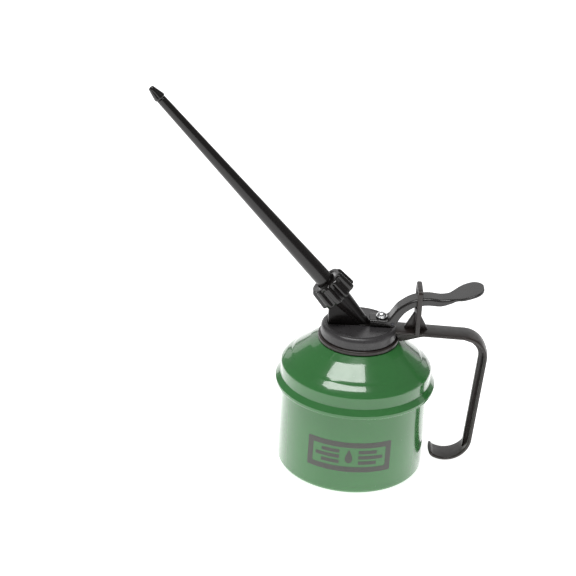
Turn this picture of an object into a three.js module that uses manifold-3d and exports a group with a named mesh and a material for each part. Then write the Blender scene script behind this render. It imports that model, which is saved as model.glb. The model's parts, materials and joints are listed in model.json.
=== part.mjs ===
// Handy oiler can: a hand pump oiler with a screw-off pump head, a thumb lever and a hooked handle.
// Millimetres. The origin is the centre of the can's base, +Z is up, +X points to the handle and
// the spout leans towards -X. Every piece is its own closed solid.

import * as THREE from 'three';
import { mergeVertices } from 'three/addons/utils/BufferGeometryUtils.js';
import Module from 'manifold-3d';

const wasm = await Module();
wasm.setup();

// ---------------------------------------------------------------- clearances
const restGap = 0.3;            // between two pieces that touch in use
const turnGap = 0.4;            // round a piece that turns or slides inside another

// ---------------------------------------------------------------- can
const canRadius = 43;
const canWall = 1.0;
const baseThickness = 1.2;
const baseCorner = 3.2;
const beadHeight = 54;          // height of the bead's widest line
const beadReach = 2.8;          // how far the bead stands out from the band above it
const beadDrop = 1.8;           // the bead's lower half
const skirtWall = 0.8;          // shoulder band round the can's wall
const bandHeight = 11.6;        // from the bead's widest line to the shoulder's edge
const bandEdge = 1.6;
const domeRise = 15.1;          // from the band's top to the neck seat
const domeKnee = 0.24;          // fullness of the dome's curve
const shoulderWall = 1.0;

// ---------------------------------------------------------------- neck
const neckRadius = 19.8;        // outside of the threaded ferrule
const neckWall = 1.2;
const neckHeight = 7.3;         // ferrule above the neck seat
const ferruleFlange = 2.4;      // flange under the shoulder
const ferruleFlangeWall = 1.0;
const gasketThickness = 0.8;

// ---------------------------------------------------------------- pump head
const capWall = 2.0;
const capEdge = 3.2;            // rounding of the cap's upper edge
const capCeiling = 1.6;
const plugRadius = 17.6;        // core of the head, inside the ferrule
const plugDepth = 14.2;
const outletElevation = 47.58;  // degrees above level
const outletFootX = 2.5;        // where the outlet's axis leaves the cap's top
const bossFootRadius = 3.5;
const bossTaper = 0.104;        // growth of the radius for each unit of length
const bossLength = 22.9;
const bossRoot = 6;             // of the boss inside the head
const rootSink = 1;             // how deep the web and the lug stand in the cap
const spigotRadius = 7.5;
const spigotLength = 8.3;
const webThickness = 7;
const webReach = 18.4;          // from the can's axis to the web's front edge
const outletBore = 1.6;
const outletDepth = 3.5;        // of the sloping bore, below the cap's top
const riserBore = 1.3;
const valveChamber = 2.6;
const valveSeatDepth = 5;       // below the spigot's mouth

// ---------------------------------------------------------------- handle
const ringReach = 1.35;         // how far the clamped ring stands out beyond the cap
const ringThickness = 2.6;
const strapWidth = 14;
const strapThickness = 2.4;
const strapFall = 2.3;          // degrees
const strapTopBelowCap = 1.4;   // strap top at the root, below the cap's top
const handleReach = 33.4;       // outermost line of the leg, beyond the can's wall
const bendRadius = 15;
const legLean = 4.3;            // degrees
const heelRadius = 16;
const toeRadius = 6;
const heelSweep = 115;          // degrees, where the heel arc hands over to the toe arc
const toeSweep = 148;           // degrees, where the hook ends
const hookHeight = 3.9;         // hook bottom above the surface that the can stands on
const ribWidth = 3.8;
const ribDepth = 2.8;
const ribShallow = 2;
const ribTurn = 60;             // degrees, where the rib is deep again in the bend
const ribEnd = 46;              // degrees, where the rib runs into the hook
const rootWidth = 6;
const rootLength = 20;
const rootUnder = [             // rib's lower edge: beyond the cap, above the ring's underside
  [-3, 0.2], [1, 0.1], [4.7, 0], [8, 0.9], [12, 2.1], [15, 2.8],
];

// ---------------------------------------------------------------- lever guide loop
const loopX = 33.5;
const loopThickness = 3;
const loopWall = 1.8;
const loopLintel = 2.5;
const loopSill = 8.6;           // window sill above the cap's top
const loopHeight = 25.4;        // above the cap's top
const loopCorner = 2.6;
const finWidth = 2.8;
const finReach = 6.3;
const finDrop = 0.6;            // front fin's top below the window sill
const finTip = 0.8;             // width of the front fin's top beyond the loop
const rearFinShort = 1;         // how much shorter and lower the rear fin is

// ---------------------------------------------------------------- lever
const leverWidth = 10.4;
const cheekWall = 1.4;
const leverPlate = 1.2;
const leverLift = 0.5;          // cheeks above the cap's top
const pivotX = 19;
const pivotHeight = 2.3;        // pivot above the cap's top
const heelDisc = 1.9;
const lugRadius = 1.6;
const lugWidth = 6;
const pinRadius = 0.75;
const padWidth = 19.4;
const padThickness = 1.4;
const padStart = 50;
const padEnd = 70.7;
const padOverlap = 6;           // shared length of the plate and the pad
const padRound = 0.9;           // length of the pad's rounded end over its half width
const padWaist = 0.88;          // pad's half width where its neck has widened
const tongueHeight = 3.6;
const loopClear = 1;            // between the lever's sides and the loop's window

// ---------------------------------------------------------------- pump
const pumpX = 12.7;
const rodRadius = 1.5;
const acornRadius = 3.3;
const acornHeight = 3.2;
const acornSkirt = 0.6;
const acornGrip = 1.4;          // rod inside the dome nut
const glandRadius = 2.9;
const glandHead = 3.2;
const glandHeadHeight = 2.1;
const glandLength = 5.5;
const packingHeight = 1.8;
const barrelRadius = 5;
const barrelWall = 1;
const barrelLength = 34;
const springLength = 20;
const springTurns = 8;
const springWire = 0.35;
const screwRadius = 0.9;        // rod's lower end, through the piston and its cup
const screwEnd = 1.4;
const pistonHeight = 3;
const pistonGap = 0.15;
const cupHeight = 2.2;
const cupGap = 0.05;            // the cup wipes the barrel
const cupLip = 0.7;
const cupFloor = 0.9;
const footSpigot = 3.3;
const footFlange = 2.8;
const ballRadius = 1.7;
const ballRise = 1.0;
const tubeRadius = 2.9;
const tubeWall = 0.7;
const nippleLength = 4.5;
const strainerRadius = 4.2;
const strainerHeight = 7;
const strainerWall = 0.8;
const strainerLift = 1.8;       // strainer above the can's floor
const strainerSlots = 6;
const strainerSlotWidth = 0.9;
const strainerRim = 1.7;        // solid band above and below the slots

// ---------------------------------------------------------------- spout
const washerThickness = 0.9;
const washerRelief = 0.2;
const flangeThickness = 1.3;
const flangeRadius = 7.0;
const spoutLength = 146.2;      // tube above its flange
const spoutRootRadius = 5.2;
const spoutEndRadius = 2.7;
const spoutWall = 0.9;
const nutRadius = 11.7;
const nutTaper = 0.8;           // how much slimmer the nut is at its rounded edge
const nutEdge = 2;
const nutLength = 12.3;
const nutRibs = 10;
const nutGroove = 1.2;
const nutCrown = 0.6;           // below 1 broadens the ribs between the grooves
const nutChamfer = 0.6;
const nutCeiling = 1.0;
const nozzleLength = 8.3;
const nozzleShoulder = 3.3;
const nozzleMouth = 1.4;
const nozzleBore = 0.8;
const nozzleShank = 6;
const nozzleGrooves = 6;
const nozzleGroove = 0.5;       // radius of a groove
const nozzleRim = 1;            // widest band at the barb

// ---------------------------------------------------------------- derived places
const rad = Math.PI / 180;
const skirtInner = canRadius + restGap;
const bandRadius = skirtInner + skirtWall;
const beadRadius = bandRadius + beadReach;
const bandTop = beadHeight + bandHeight;
const neckSeat = bandTop + domeRise;
const ringInner = neckRadius + turnGap;
const capRadius = neckRadius + turnGap + capWall;
const ringRadius = capRadius + ringReach;
const ringBottom = neckSeat + restGap;
const ringTop = ringBottom + ringThickness;
const ferruleTop = neckSeat + neckHeight;
const gasketBottom = ferruleTop + restGap;
const capUnderside = gasketBottom + gasketThickness + restGap;
const capTop = capUnderside + capCeiling;
const capBottom = ringTop + restGap;
const plugBottom = capTop - plugDepth;
const outletTilt = (90 - outletElevation) * rad;
const leverHalf = leverWidth / 2;
const windowHalf = leverHalf + loopClear;
const loopHalf = windowHalf + loopWall;
const spigotTop = bossLength + spigotLength;
const plateTop = capTop + leverLift + tongueHeight;
const handleOut = canRadius + handleReach;

// ---------------------------------------------------------------- shape helpers

// A closed, outward facing copy of a geometry: shared vertices merged, slivers dropped.
function closed(geometry) {
  const bare = geometry.index ? geometry.toNonIndexed() : geometry.clone();
  bare.deleteAttribute('normal');
  bare.deleteAttribute('uv');
  const merged = mergeVertices(bare, 1e-4);
  const place = merged.attributes.position;
  const source = merged.index.array;
  const kept = [];
  let volume = 0;
  const a = new THREE.Vector3();
  const b = new THREE.Vector3();
  const c = new THREE.Vector3();
  for (let i = 0; i < source.length; i += 3) {
    const [p, q, r] = [source[i], source[i + 1], source[i + 2]];
    if (p === q || q === r || r === p) continue;
    kept.push(p, q, r);
    a.fromBufferAttribute(place, p);
    b.fromBufferAttribute(place, q);
    c.fromBufferAttribute(place, r);
    volume += a.dot(b.cross(c));
  }
  if (volume < 0) {
    for (let i = 0; i < kept.length; i += 3) [kept[i], kept[i + 1]] = [kept[i + 1], kept[i]];
  }
  merged.setIndex(kept);
  return merged;
}

function toSolid(geometry) {
  const mesh = closed(geometry);
  return new wasm.Manifold(new wasm.Mesh({
    numProp: 3,
    vertProperties: new Float32Array(mesh.attributes.position.array),
    triVerts: new Uint32Array(mesh.index.array),
  }));
}

function toGeometry(solid) {
  const mesh = solid.getMesh();
  const geometry = new THREE.BufferGeometry();
  geometry.setAttribute('position', new THREE.BufferAttribute(mesh.vertProperties, 3));
  geometry.setIndex(new THREE.BufferAttribute(mesh.triVerts, 1));
  return geometry;
}

function joined(...geometries) {
  const solids = geometries.map(toSolid);
  return toGeometry(solids.reduce((whole, next) => whole.add(next)));
}

function cut(geometry, ...tools) {
  return toGeometry(tools.reduce((left, tool) => left.subtract(toSolid(tool)), toSolid(geometry)));
}

function common(geometry, other) {
  return toGeometry(toSolid(geometry).intersect(toSolid(other)));
}

// Turned on the Z axis from [radius, height] pairs.
function turned(profile, segments = 40) {
  const points = profile.map(([radius, height]) => new THREE.Vector2(radius, height));
  return new THREE.LatheGeometry(points, segments).rotateX(Math.PI / 2);
}

function rod(radius, bottom, top, segments = 24) {
  return turned([[0, bottom], [radius, bottom], [radius, top], [0, top]], segments);
}

function tube(radius, bore, bottom, top, segments = 24) {
  const section = [[bore, bottom], [radius, bottom], [radius, top], [bore, top], [bore, bottom]];
  return turned(section, segments);
}

// Points of an arc, angles in degrees.
function arc(centreX, centreY, radius, from, to, steps) {
  const points = [];
  for (let i = 0; i <= steps; i += 1) {
    const angle = (from + (to - from) * i / steps) * rad;
    points.push([centreX + radius * Math.cos(angle), centreY + radius * Math.sin(angle)]);
  }
  return points;
}

function outline(points) {
  return new THREE.Shape(points.map(([x, y]) => new THREE.Vector2(x, y)));
}

// An outline drawn in X and Z, extruded across Y and centred on the mid plane.
const acrossY = new THREE.Matrix4().makeBasis(
  new THREE.Vector3(1, 0, 0), new THREE.Vector3(0, 0, 1), new THREE.Vector3(0, -1, 0));

function slab(points, width, middle = 0) {
  const geometry = new THREE.ExtrudeGeometry(outline(points), { depth: width, bevelEnabled: false });
  return geometry.translate(0, 0, -width / 2).applyMatrix4(acrossY).translate(0, middle, 0);
}

// An outline drawn in Y and Z, extruded along X from a start.
const alongX = new THREE.Matrix4().makeBasis(
  new THREE.Vector3(0, 1, 0), new THREE.Vector3(0, 0, 1), new THREE.Vector3(1, 0, 0));

function crossSlab(points, start, thickness) {
  const geometry = new THREE.ExtrudeGeometry(outline(points), { depth: thickness, bevelEnabled: false });
  return geometry.applyMatrix4(alongX).translate(start, 0, 0);
}

// An outline drawn in X and Y, extruded upwards from a start.
function upSlab(points, start, height) {
  const geometry = new THREE.ExtrudeGeometry(outline(points), { depth: height, bevelEnabled: false });
  return geometry.translate(0, 0, start);
}

// Places a shape turned on Z onto the outlet's leaning axis, its zero on the cap's top.
const outletPlace = new THREE.Matrix4()
  .makeTranslation(outletFootX, 0, capTop)
  .multiply(new THREE.Matrix4().makeRotationY(-outletTilt));

function onOutlet(geometry) {
  return geometry.applyMatrix4(outletPlace);
}

function bossRadiusAt(along) {
  return bossFootRadius + bossTaper * along;
}

function mesh(name, geometry, colour, roughness, metalness) {
  const material = new THREE.MeshStandardMaterial({ color: colour, roughness, metalness });
  const piece = new THREE.Mesh(closed(geometry), material);
  piece.name = name;
  return piece;
}

const green = 0x2f6738;
const black = 0x3c393a;
const capBlack = 0x47474a;
const steel = 0xb9bcc0;
const brass = 0xb99a52;
const rubber = 0x1d1d1e;

// ---------------------------------------------------------------- can

// Drawn cup with a flat base. Its wall ends inside the shoulder's skirt.
function canBody() {
  const wallTop = bandTop - bandEdge - shoulderWall - restGap;
  const inner = canRadius - canWall;
  const innerCorner = baseCorner - canWall;
  const profile = [
    [0, 0],
    ...arc(canRadius - baseCorner, baseCorner, baseCorner, -90, 0, 5),
    [canRadius, wallTop],
    [inner, wallTop],
    ...arc(inner - innerCorner, baseThickness + innerCorner, innerCorner, 0, -90, 4),
    [0, baseThickness],
  ];
  return mesh('can_body', turned(profile, 48), green, 0.3, 0.1);
}

// Outer line of the dome: a curve that starts steep at the band and flattens at the neck.
const domeStart = new THREE.Vector2(bandRadius - bandEdge * (1 - Math.cos(45 * rad)),
  bandTop - bandEdge * (1 - Math.sin(45 * rad)));
const domeEnd = new THREE.Vector2(ringRadius, neckSeat);

function domeLine(drop, steps) {
  const lean = 45 * rad;
  const knee = (domeStart.x - domeEnd.x) * domeKnee;
  const control = new THREE.Vector2(domeStart.x - knee * Math.cos(lean),
    domeStart.y + knee * Math.sin(lean));
  const curve = new THREE.QuadraticBezierCurve(domeStart, control, domeEnd);
  const points = [];
  for (let i = 0; i <= steps; i += 1) {
    const at = curve.getPoint(i / steps);
    const heading = curve.getTangent(i / steps);
    points.push([at.x - drop * heading.y, at.y + drop * heading.x]);
  }
  return points;
}

// Shoulder: rolled bead, straight band and dome, with the neck hole in the middle.
function canShoulder() {
  const hole = neckRadius + restGap;
  const innerDome = domeLine(shoulderWall, 5).reverse();
  const profile = [
    [skirtInner, beadHeight - beadDrop],
    ...arc(beadRadius - beadDrop, beadHeight, beadDrop, -90, 0, 3),
    ...arc(bandRadius, beadHeight + 0.3, beadReach, 0, 90, 4),
    ...arc(bandRadius - bandEdge, bandTop - bandEdge, bandEdge, 0, 30, 2),
    ...domeLine(0, 7),
    [hole, neckSeat],
    [hole, neckSeat - shoulderWall],
    ...innerDome,
    [skirtInner, bandTop - bandEdge - shoulderWall],
    [skirtInner, beadHeight - beadDrop],
  ];
  return mesh('can_shoulder', turned(profile, 48), green, 0.25, 0.1);
}

// ---------------------------------------------------------------- neck

function neckFerrule() {
  const under = neckSeat - shoulderWall - turnGap;
  const bore = neckRadius - neckWall;
  const flange = neckRadius + ferruleFlange;
  const profile = [
    [bore, under - ferruleFlangeWall],
    [flange, under - ferruleFlangeWall],
    [flange, under],
    [neckRadius, under],
    [neckRadius, ferruleTop],
    [bore, ferruleTop],
    [bore, under - ferruleFlangeWall],
  ];
  return mesh('neck_ferrule', turned(profile), steel, 0.35, 0.9);
}

function neckGasket() {
  const seat = neckRadius - neckWall;
  const ring = tube(neckRadius + restGap / 2, seat, gasketBottom, gasketBottom + gasketThickness, 48);
  return mesh('neck_gasket', ring, rubber, 0.9, 0);
}

// ---------------------------------------------------------------- pump head

const glandBore = glandRadius + restGap;
const glandFloor = capTop + restGap - glandLength - restGap - packingHeight - restGap;
const barrelTop = glandFloor - 1 - restGap;
const barrelBottom = barrelTop - barrelLength;
const socketRadius = barrelRadius + restGap;
const portDrop = 2.4;

// Screw cap with the outlet boss, its web, the lever's lug and the pump socket in one casting.
function pumpHead() {
  const skirtBore = neckRadius + turnGap;
  const shell = turned([
    [0, plugBottom],
    [plugRadius, plugBottom],
    [plugRadius, capUnderside],
    [skirtBore, capUnderside],
    [skirtBore, capBottom],
    [capRadius, capBottom],
    ...arc(capRadius - capEdge, capTop - capEdge, capEdge, 0, 90, 5),
    [0, capTop],
  ], 48);

  const boss = onOutlet(turned([
    [0, -bossRoot],
    [bossRadiusAt(-bossRoot) - 1, -bossRoot],
    [bossRadiusAt(0), 0],
    [bossRadiusAt(bossLength), bossLength],
    [spigotRadius, bossLength],
    [spigotRadius, spigotTop],
    [0, spigotTop],
  ]));

  // The web stands under the boss, upright at the front and square to the outlet at the top.
  const sine = Math.sin(outletTilt);
  const cosine = Math.cos(outletTilt);
  const crown = [outletFootX - bossLength * sine, capTop + bossLength * cosine];
  const web = slab([
    [-webReach, capTop - rootSink],
    [outletFootX, capTop - rootSink],
    crown,
    [-webReach, crown[1] - (webReach + crown[0]) * sine / cosine],
  ], webThickness);

  const lugLow = capTop - rootSink;
  const lug = slab([
    [pivotX + lugRadius, lugLow],
    ...arc(pivotX, capTop + pivotHeight, lugRadius, 0, 180, 8),
    [pivotX - lugRadius, lugLow],
  ], lugWidth);

  const solid = joined(shell, boss, web, lug);

  const pinHole = rod(pinRadius + restGap, -lugWidth, lugWidth, 16)
    .rotateX(Math.PI / 2).translate(pivotX, 0, capTop + pivotHeight);
  const socket = rod(socketRadius, plugBottom - 1, barrelTop + restGap).translate(pumpX, 0, 0);
  const rodHole = rod(rodRadius + turnGap, barrelTop - 1, glandFloor + 1, 16).translate(pumpX, 0, 0);
  const gland = rod(glandBore, glandFloor, capTop + 1).translate(pumpX, 0, 0);
  const bore = onOutlet(rod(outletBore, -outletDepth, spigotTop, 20));
  const chamber = onOutlet(rod(valveChamber, spigotTop - valveSeatDepth, spigotTop + 1, 20));

  // The pump delivers sideways through its port, up the riser and into the sloping bore.
  const riserX = outletFootX + outletDepth * sine;
  const riserTop = capTop - outletDepth * cosine + riserBore / 2;
  const portZ = barrelTop - portDrop;
  const riser = rod(riserBore, portZ, riserTop, 16).translate(riserX, 0, 0);
  const crossHole = rod(riserBore, riserX - riserBore, pumpX, 16)
    .rotateY(Math.PI / 2).translate(0, 0, portZ);
  return mesh('pump_head',
    cut(solid, pinHole, socket, rodHole, gland, bore, chamber, riser, crossHole),
    capBlack, 0.45, 0.05);
}

// ---------------------------------------------------------------- handle

const ribInset = strapThickness + ribDepth;
const strapTop = capTop - strapTopBelowCap;
const rootX = capRadius + turnGap;

function strapTopAt(x) {
  return strapTop - (x - rootX) * Math.tan(strapFall * rad);
}

const bendCentre = { x: handleOut - bendRadius };
bendCentre.z = strapTopAt(bendCentre.x) - bendRadius / Math.cos(strapFall * rad);
const heelCentre = { z: hookHeight + heelRadius };
const leanSine = Math.sin(legLean * rad);
const leanCosine = Math.cos(legLean * rad);
const legTopZ = bendCentre.z - bendRadius * leanSine;
const legLength = (legTopZ + heelRadius * leanSine - heelCentre.z) / leanCosine;
heelCentre.x = bendCentre.x + (bendRadius - heelRadius) * leanCosine - legLength * leanSine;
const toeCentre = {
  x: heelCentre.x + (heelRadius - toeRadius) * Math.cos(heelSweep * rad),
  z: heelCentre.z - (heelRadius - toeRadius) * Math.sin(heelSweep * rad),
};

// The handle's line from the root to the hook's tip, at a depth under its outer face.
function handleLine(inset) {
  return [
    [rootX - 3, strapTopAt(rootX - 3) - inset],
    ...arc(bendCentre.x, bendCentre.z, bendRadius - inset, 90 - strapFall, -legLean, 9),
    ...arc(heelCentre.x, heelCentre.z, heelRadius - inset, -legLean, -heelSweep, 9),
    ...arc(toeCentre.x, toeCentre.z, toeRadius - inset, -heelSweep, -toeSweep, 5).slice(1),
  ];
}

// Deep at the root, shallow under the strap, deep again round the bend and down the leg.
function ribOutline() {
  const overlap = strapThickness / 2;
  const shallow = strapThickness + ribShallow;
  return [
    ...rootUnder.map(([x, z]) => [rootX + x, ringBottom + z]),
    [rootX + rootLength, strapTopAt(rootX + rootLength) - shallow],
    [bendCentre.x - 2, strapTopAt(bendCentre.x - 2) - shallow],
    ...arc(bendCentre.x, bendCentre.z, bendRadius - ribInset, ribTurn, -legLean, 6),
    ...arc(heelCentre.x, heelCentre.z, heelRadius - overlap, -ribEnd, -legLean, 3),
    ...arc(bendCentre.x, bendCentre.z, bendRadius - overlap, -legLean, 90 - strapFall, 9),
    [rootX - 3, strapTopAt(rootX - 3) - overlap],
  ];
}

// Upright sides and a level top with rounded corners.
function frameOutline(half, low, high, corner) {
  return [
    [-half, low],
    [half, low],
    ...arc(half - corner, high - corner, corner, 0, 90, 4),
    ...arc(corner - half, high - corner, corner, 90, 180, 4),
  ];
}

function handle() {
  const ring = tube(ringRadius, ringInner, ringBottom, ringTop, 48);
  const outer = handleLine(0);
  const inner = handleLine(strapThickness).reverse();
  const strap = slab([...outer, ...inner], strapWidth);
  const rib = slab(ribOutline(), ribWidth);
  const rootBlock = slab([
    [ringInner + 1, ringBottom],
    [rootX + 3, ringBottom],
    [rootX + 7, strapTop - strapThickness],
    [rootX + 7, strapTop - strapThickness / 2],
    [ringInner + 1, strapTop - strapThickness / 2],
  ], rootWidth);

  const tipInset = strapThickness / 2;
  const tipAngle = -toeSweep * rad;
  const tip = rod(tipInset, -strapWidth / 2, strapWidth / 2, 12).rotateX(Math.PI / 2).translate(
    toeCentre.x + (toeRadius - tipInset) * Math.cos(tipAngle), 0,
    toeCentre.z + (toeRadius - tipInset) * Math.sin(tipAngle));

  const start = loopX - loopThickness / 2;
  const base = strapTopAt(loopX) - strapThickness / 2;
  const loopTop = capTop + loopHeight;
  const loopPlate = crossSlab(frameOutline(loopHalf, base, loopTop, loopCorner),
    start, loopThickness);
  const window = crossSlab(frameOutline(windowHalf, capTop + loopSill, loopTop - loopLintel,
    loopCorner - loopWall / 2), start - 1, loopThickness + 2);

  const finTop = capTop + loopSill - finDrop;
  const fins = slab([
    [start - finReach, base],
    [start + loopThickness + finReach - rearFinShort, base],
    [start + loopThickness, finTop - rearFinShort],
    [start + loopThickness / 2, finTop - rearFinShort],
    [start + loopThickness / 2, finTop],
    [start - finTip, finTop],
  ], finWidth);

  const capSpace = rod(capRadius + turnGap, ringTop, capTop + 20, 48);
  const neckSpace = rod(ringInner, ringBottom - 5, ringTop + 1, 48);
  const body = joined(strap, tip, rib, rootBlock, loopPlate, fins);
  const opened = cut(body, window, capSpace, neckSpace);
  return mesh('handle', joined(opened, ring), black, 0.4, 0.05);
}

// ---------------------------------------------------------------- lever

// The lever's upper line as [x, height above the cap's top].
const leverTopLine = [
  [6, 4.1], [11, 4.1], [15.7, 4.1], [18.1, 6.9], [20.3, 10.4], [23, 13.4], [28.5, 17.2],
  [34, 19], [39.6, 19.6], [46, 19], [51.6, 19.9], [57.3, 22.3], [63.2, 24.6], [70.7, 26.5],
];

// The lower edge of its cheeks behind the level tongue.
const leverLowLine = [
  [18, leverLift], [20.8, 1.8], [22.4, 5], [25.1, 9], [28.3, 12.1], [33, 14.4],
  [39.6, 15.2], [46, 15], [50, 15.8], [54.6, 19.6],
];

function smoothLine(points, steps) {
  const curve = new THREE.SplineCurve(points.map(([x, z]) => new THREE.Vector2(x, z + capTop)));
  return curve.getPoints(steps).map((point) => [point.x, point.y]);
}

// A strip of even thickness under a line.
function strip(line, thickness) {
  const under = line.map(([x, z], i) => {
    const [px, pz] = line[Math.max(i - 1, 0)];
    const [nx, nz] = line[Math.min(i + 1, line.length - 1)];
    const length = Math.hypot(nx - px, nz - pz);
    return [x + thickness * (nz - pz) / length, z - thickness * (nx - px) / length];
  });
  return [...line, ...under.reverse()];
}

function lever() {
  const top = smoothLine(leverTopLine, 39);
  const low = [[leverTopLine[0][0], capTop + leverLift], ...smoothLine(leverLowLine, 27)];
  const cheekEnd = low[low.length - 1][0];
  const plate = slab(strip(top.filter(([x]) => x < padStart + padOverlap), leverPlate), leverWidth);

  const side = [...top.filter(([x]) => x < cheekEnd), ...low.slice().reverse()];
  const offset = leverHalf - cheekWall / 2;
  const cheeks = [-offset, offset].map((middle) => slab(side, cheekWall, middle));
  const heels = [-offset, offset].map((middle) => rod(heelDisc, -cheekWall / 2, cheekWall / 2, 16)
    .rotateX(Math.PI / 2).translate(pivotX, middle, capTop + pivotHeight));

  const padHalf = padWidth / 2;
  const roundX = padEnd - padHalf * padRound;
  const plan = upSlab([
    [padStart - 2, -leverHalf],
    [padStart + 3, -leverHalf - 0.6],
    [padStart + padOverlap + 1, -padHalf * padWaist],
    ...arc(roundX, 0, padHalf, -90, 90, 12).map(([x, y]) => [roundX + (x - roundX) * padRound, y]),
    [padStart + padOverlap + 1, padHalf * padWaist],
    [padStart + 3, leverHalf + 0.6],
    [padStart - 2, leverHalf],
  ], capTop, 40);
  const padLine = top.filter(([x]) => x > padStart - padOverlap / 2);
  const padStrip = slab(strip(padLine, padThickness), padWidth + 2);
  const pad = common(padStrip, plan);

  const solid = joined(plate, ...cheeks, ...heels, pad);
  const slotHalf = rodRadius + turnGap;
  const slotReach = acornRadius - restGap;
  const slot = upSlab([
    [pumpX - slotReach, -slotHalf],
    [pumpX + slotReach, -slotHalf],
    [pumpX + slotReach, slotHalf],
    [pumpX - slotReach, slotHalf],
  ], plateTop - leverPlate - 2, leverPlate + 4);
  const pinHole = rod(pinRadius + restGap, -leverWidth, leverWidth, 16)
    .rotateX(Math.PI / 2).translate(pivotX, 0, capTop + pivotHeight);
  return mesh('lever', cut(solid, slot, pinHole), black, 0.35, 0.05);
}

function leverPin() {
  const pin = rod(pinRadius, -leverHalf, leverHalf, 16).rotateX(Math.PI / 2);
  const piece = mesh('lever_pin', pin, steel, 0.3, 0.9);
  piece.position.set(pivotX, 0, capTop + pivotHeight);
  return piece;
}

// ---------------------------------------------------------------- plunger

const acornBottom = plateTop + restGap;
const rodTop = acornBottom + acornGrip;
const springTop = barrelTop - restGap;
const springBottom = springTop - springLength;
const pistonTop = springBottom - restGap;
const cupTop = pistonTop - pistonHeight - restGap;
const barrelBore = barrelRadius - barrelWall;

function plungerPieces() {
  const acorn = cut(turned([
    [0, acornBottom],
    [acornRadius, acornBottom],
    [acornRadius, acornBottom + acornSkirt],
    ...arc(0, 0, 1, 10, 90, 6).map(([x, y]) => [
      acornRadius * x, acornBottom + acornSkirt + (acornHeight - acornSkirt) * y]),
  ], 24), rod(rodRadius + restGap, acornBottom - 1, rodTop + restGap, 16));

  const stem = turned([
    [0, cupTop - cupHeight - screwEnd],
    [screwRadius, cupTop - cupHeight - screwEnd],
    [screwRadius, pistonTop + restGap],
    [rodRadius, pistonTop + restGap],
    [rodRadius, rodTop],
    [0, rodTop],
  ], 16);
  const hole = screwRadius + restGap;
  const piston = tube(barrelBore - pistonGap, hole, pistonTop - pistonHeight, pistonTop);
  const cupBottom = cupTop - cupHeight;
  const lip = barrelBore - cupGap;
  const cup = turned([
    [hole, cupBottom],
    [lip - cupLip, cupBottom],
    [lip, cupBottom + cupLip * 2],
    [lip, cupTop],
    [lip - cupLip, cupTop],
    [lip - cupLip * 1.6, cupBottom + cupFloor],
    [hole, cupBottom + cupFloor],
    [hole, cupBottom],
  ], 24);
  return [
    mesh('plunger_cap', acorn, 0xd9dcdf, 0.12, 1),
    mesh('plunger_rod', stem, steel, 0.25, 0.9),
    mesh('piston', piston, brass, 0.35, 0.9),
    mesh('piston_cup', cup, rubber, 0.85, 0),
  ];
}

class Helix extends THREE.Curve {
  constructor(radius, length, turns) {
    super();
    Object.assign(this, { radius, length, turns });
  }

  getPoint(t, target = new THREE.Vector3()) {
    const angle = t * this.turns * 2 * Math.PI;
    return target.set(this.radius * Math.cos(angle), this.radius * Math.sin(angle), this.length * t);
  }
}

function returnSpring() {
  const coil = (rodRadius + barrelBore) / 2;
  const section = outline(arc(0, 0, springWire, 0, 288, 4));
  const path = new Helix(coil, springLength - 2 * springWire, springTurns);
  const geometry = new THREE.ExtrudeGeometry(section,
    { steps: springTurns * 10, bevelEnabled: false, extrudePath: path });
  return mesh('return_spring', geometry.translate(0, 0, springBottom + springWire), steel, 0.3, 0.9);
}

// ---------------------------------------------------------------- gland, barrel and suction line

function glandNut() {
  const head = capTop + restGap;
  const corners = arc(0, 0, glandHead, 0, 300, 5);
  const hex = upSlab(corners, head, glandHeadHeight);
  const shank = rod(glandRadius, head - glandLength, head + 0.5);
  const bore = rod(rodRadius + turnGap, head - glandLength - 1, head + glandHeadHeight + 1, 16);
  return mesh('gland_nut', cut(joined(hex, shank), bore), brass, 0.35, 0.9);
}

function glandPacking() {
  const bottom = glandFloor + restGap;
  const ring = tube(glandRadius, rodRadius + restGap, bottom, bottom + packingHeight, 20);
  return mesh('gland_packing', ring, rubber, 0.9, 0);
}

function pumpBarrel() {
  const wall = tube(barrelRadius, barrelBore, barrelBottom, barrelTop, 28);
  const port = rod(outletBore, 0, barrelRadius + 2, 16).rotateY(-Math.PI / 2)
    .translate(0, 0, barrelTop - portDrop);
  return mesh('pump_barrel', cut(wall, port), brass, 0.35, 0.9);
}

const footTop = barrelBottom + footSpigot;
const footBottom = barrelBottom - restGap - footFlange;
const seatBore = ballRadius * 0.6;
const ballSeat = footTop - 2 * ballRadius - ballRise;
const ballCentre = ballSeat + Math.sqrt(ballRadius ** 2 - seatBore ** 2) + restGap;

function footValve() {
  const spigot = barrelBore - restGap;
  const chamber = ballRadius + turnGap;
  const nipple = tubeRadius - tubeWall - restGap;
  const profile = [
    [seatBore, footBottom - nippleLength],
    [nipple, footBottom - nippleLength],
    [nipple, footBottom],
    [barrelRadius, footBottom],
    [barrelRadius, footBottom + footFlange],
    [spigot, footBottom + footFlange],
    [spigot, footTop],
    [chamber, footTop],
    [chamber, ballSeat],
    [seatBore, ballSeat],
    [seatBore, footBottom - nippleLength],
  ];
  return mesh('foot_valve', turned(profile, 24), brass, 0.35, 0.9);
}

function ball(name, radius) {
  return mesh(name, new THREE.SphereGeometry(radius, 12, 8), steel, 0.15, 1);
}

const strainerBottom = baseThickness + strainerLift;
const tubeTop = footBottom - restGap;
const tubeBottom = strainerBottom + 2;

function suctionTube() {
  const pipe = tube(tubeRadius, tubeRadius - tubeWall, tubeBottom, tubeTop, 16);
  return mesh('suction_tube', pipe, brass, 0.4, 0.9);
}

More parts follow.
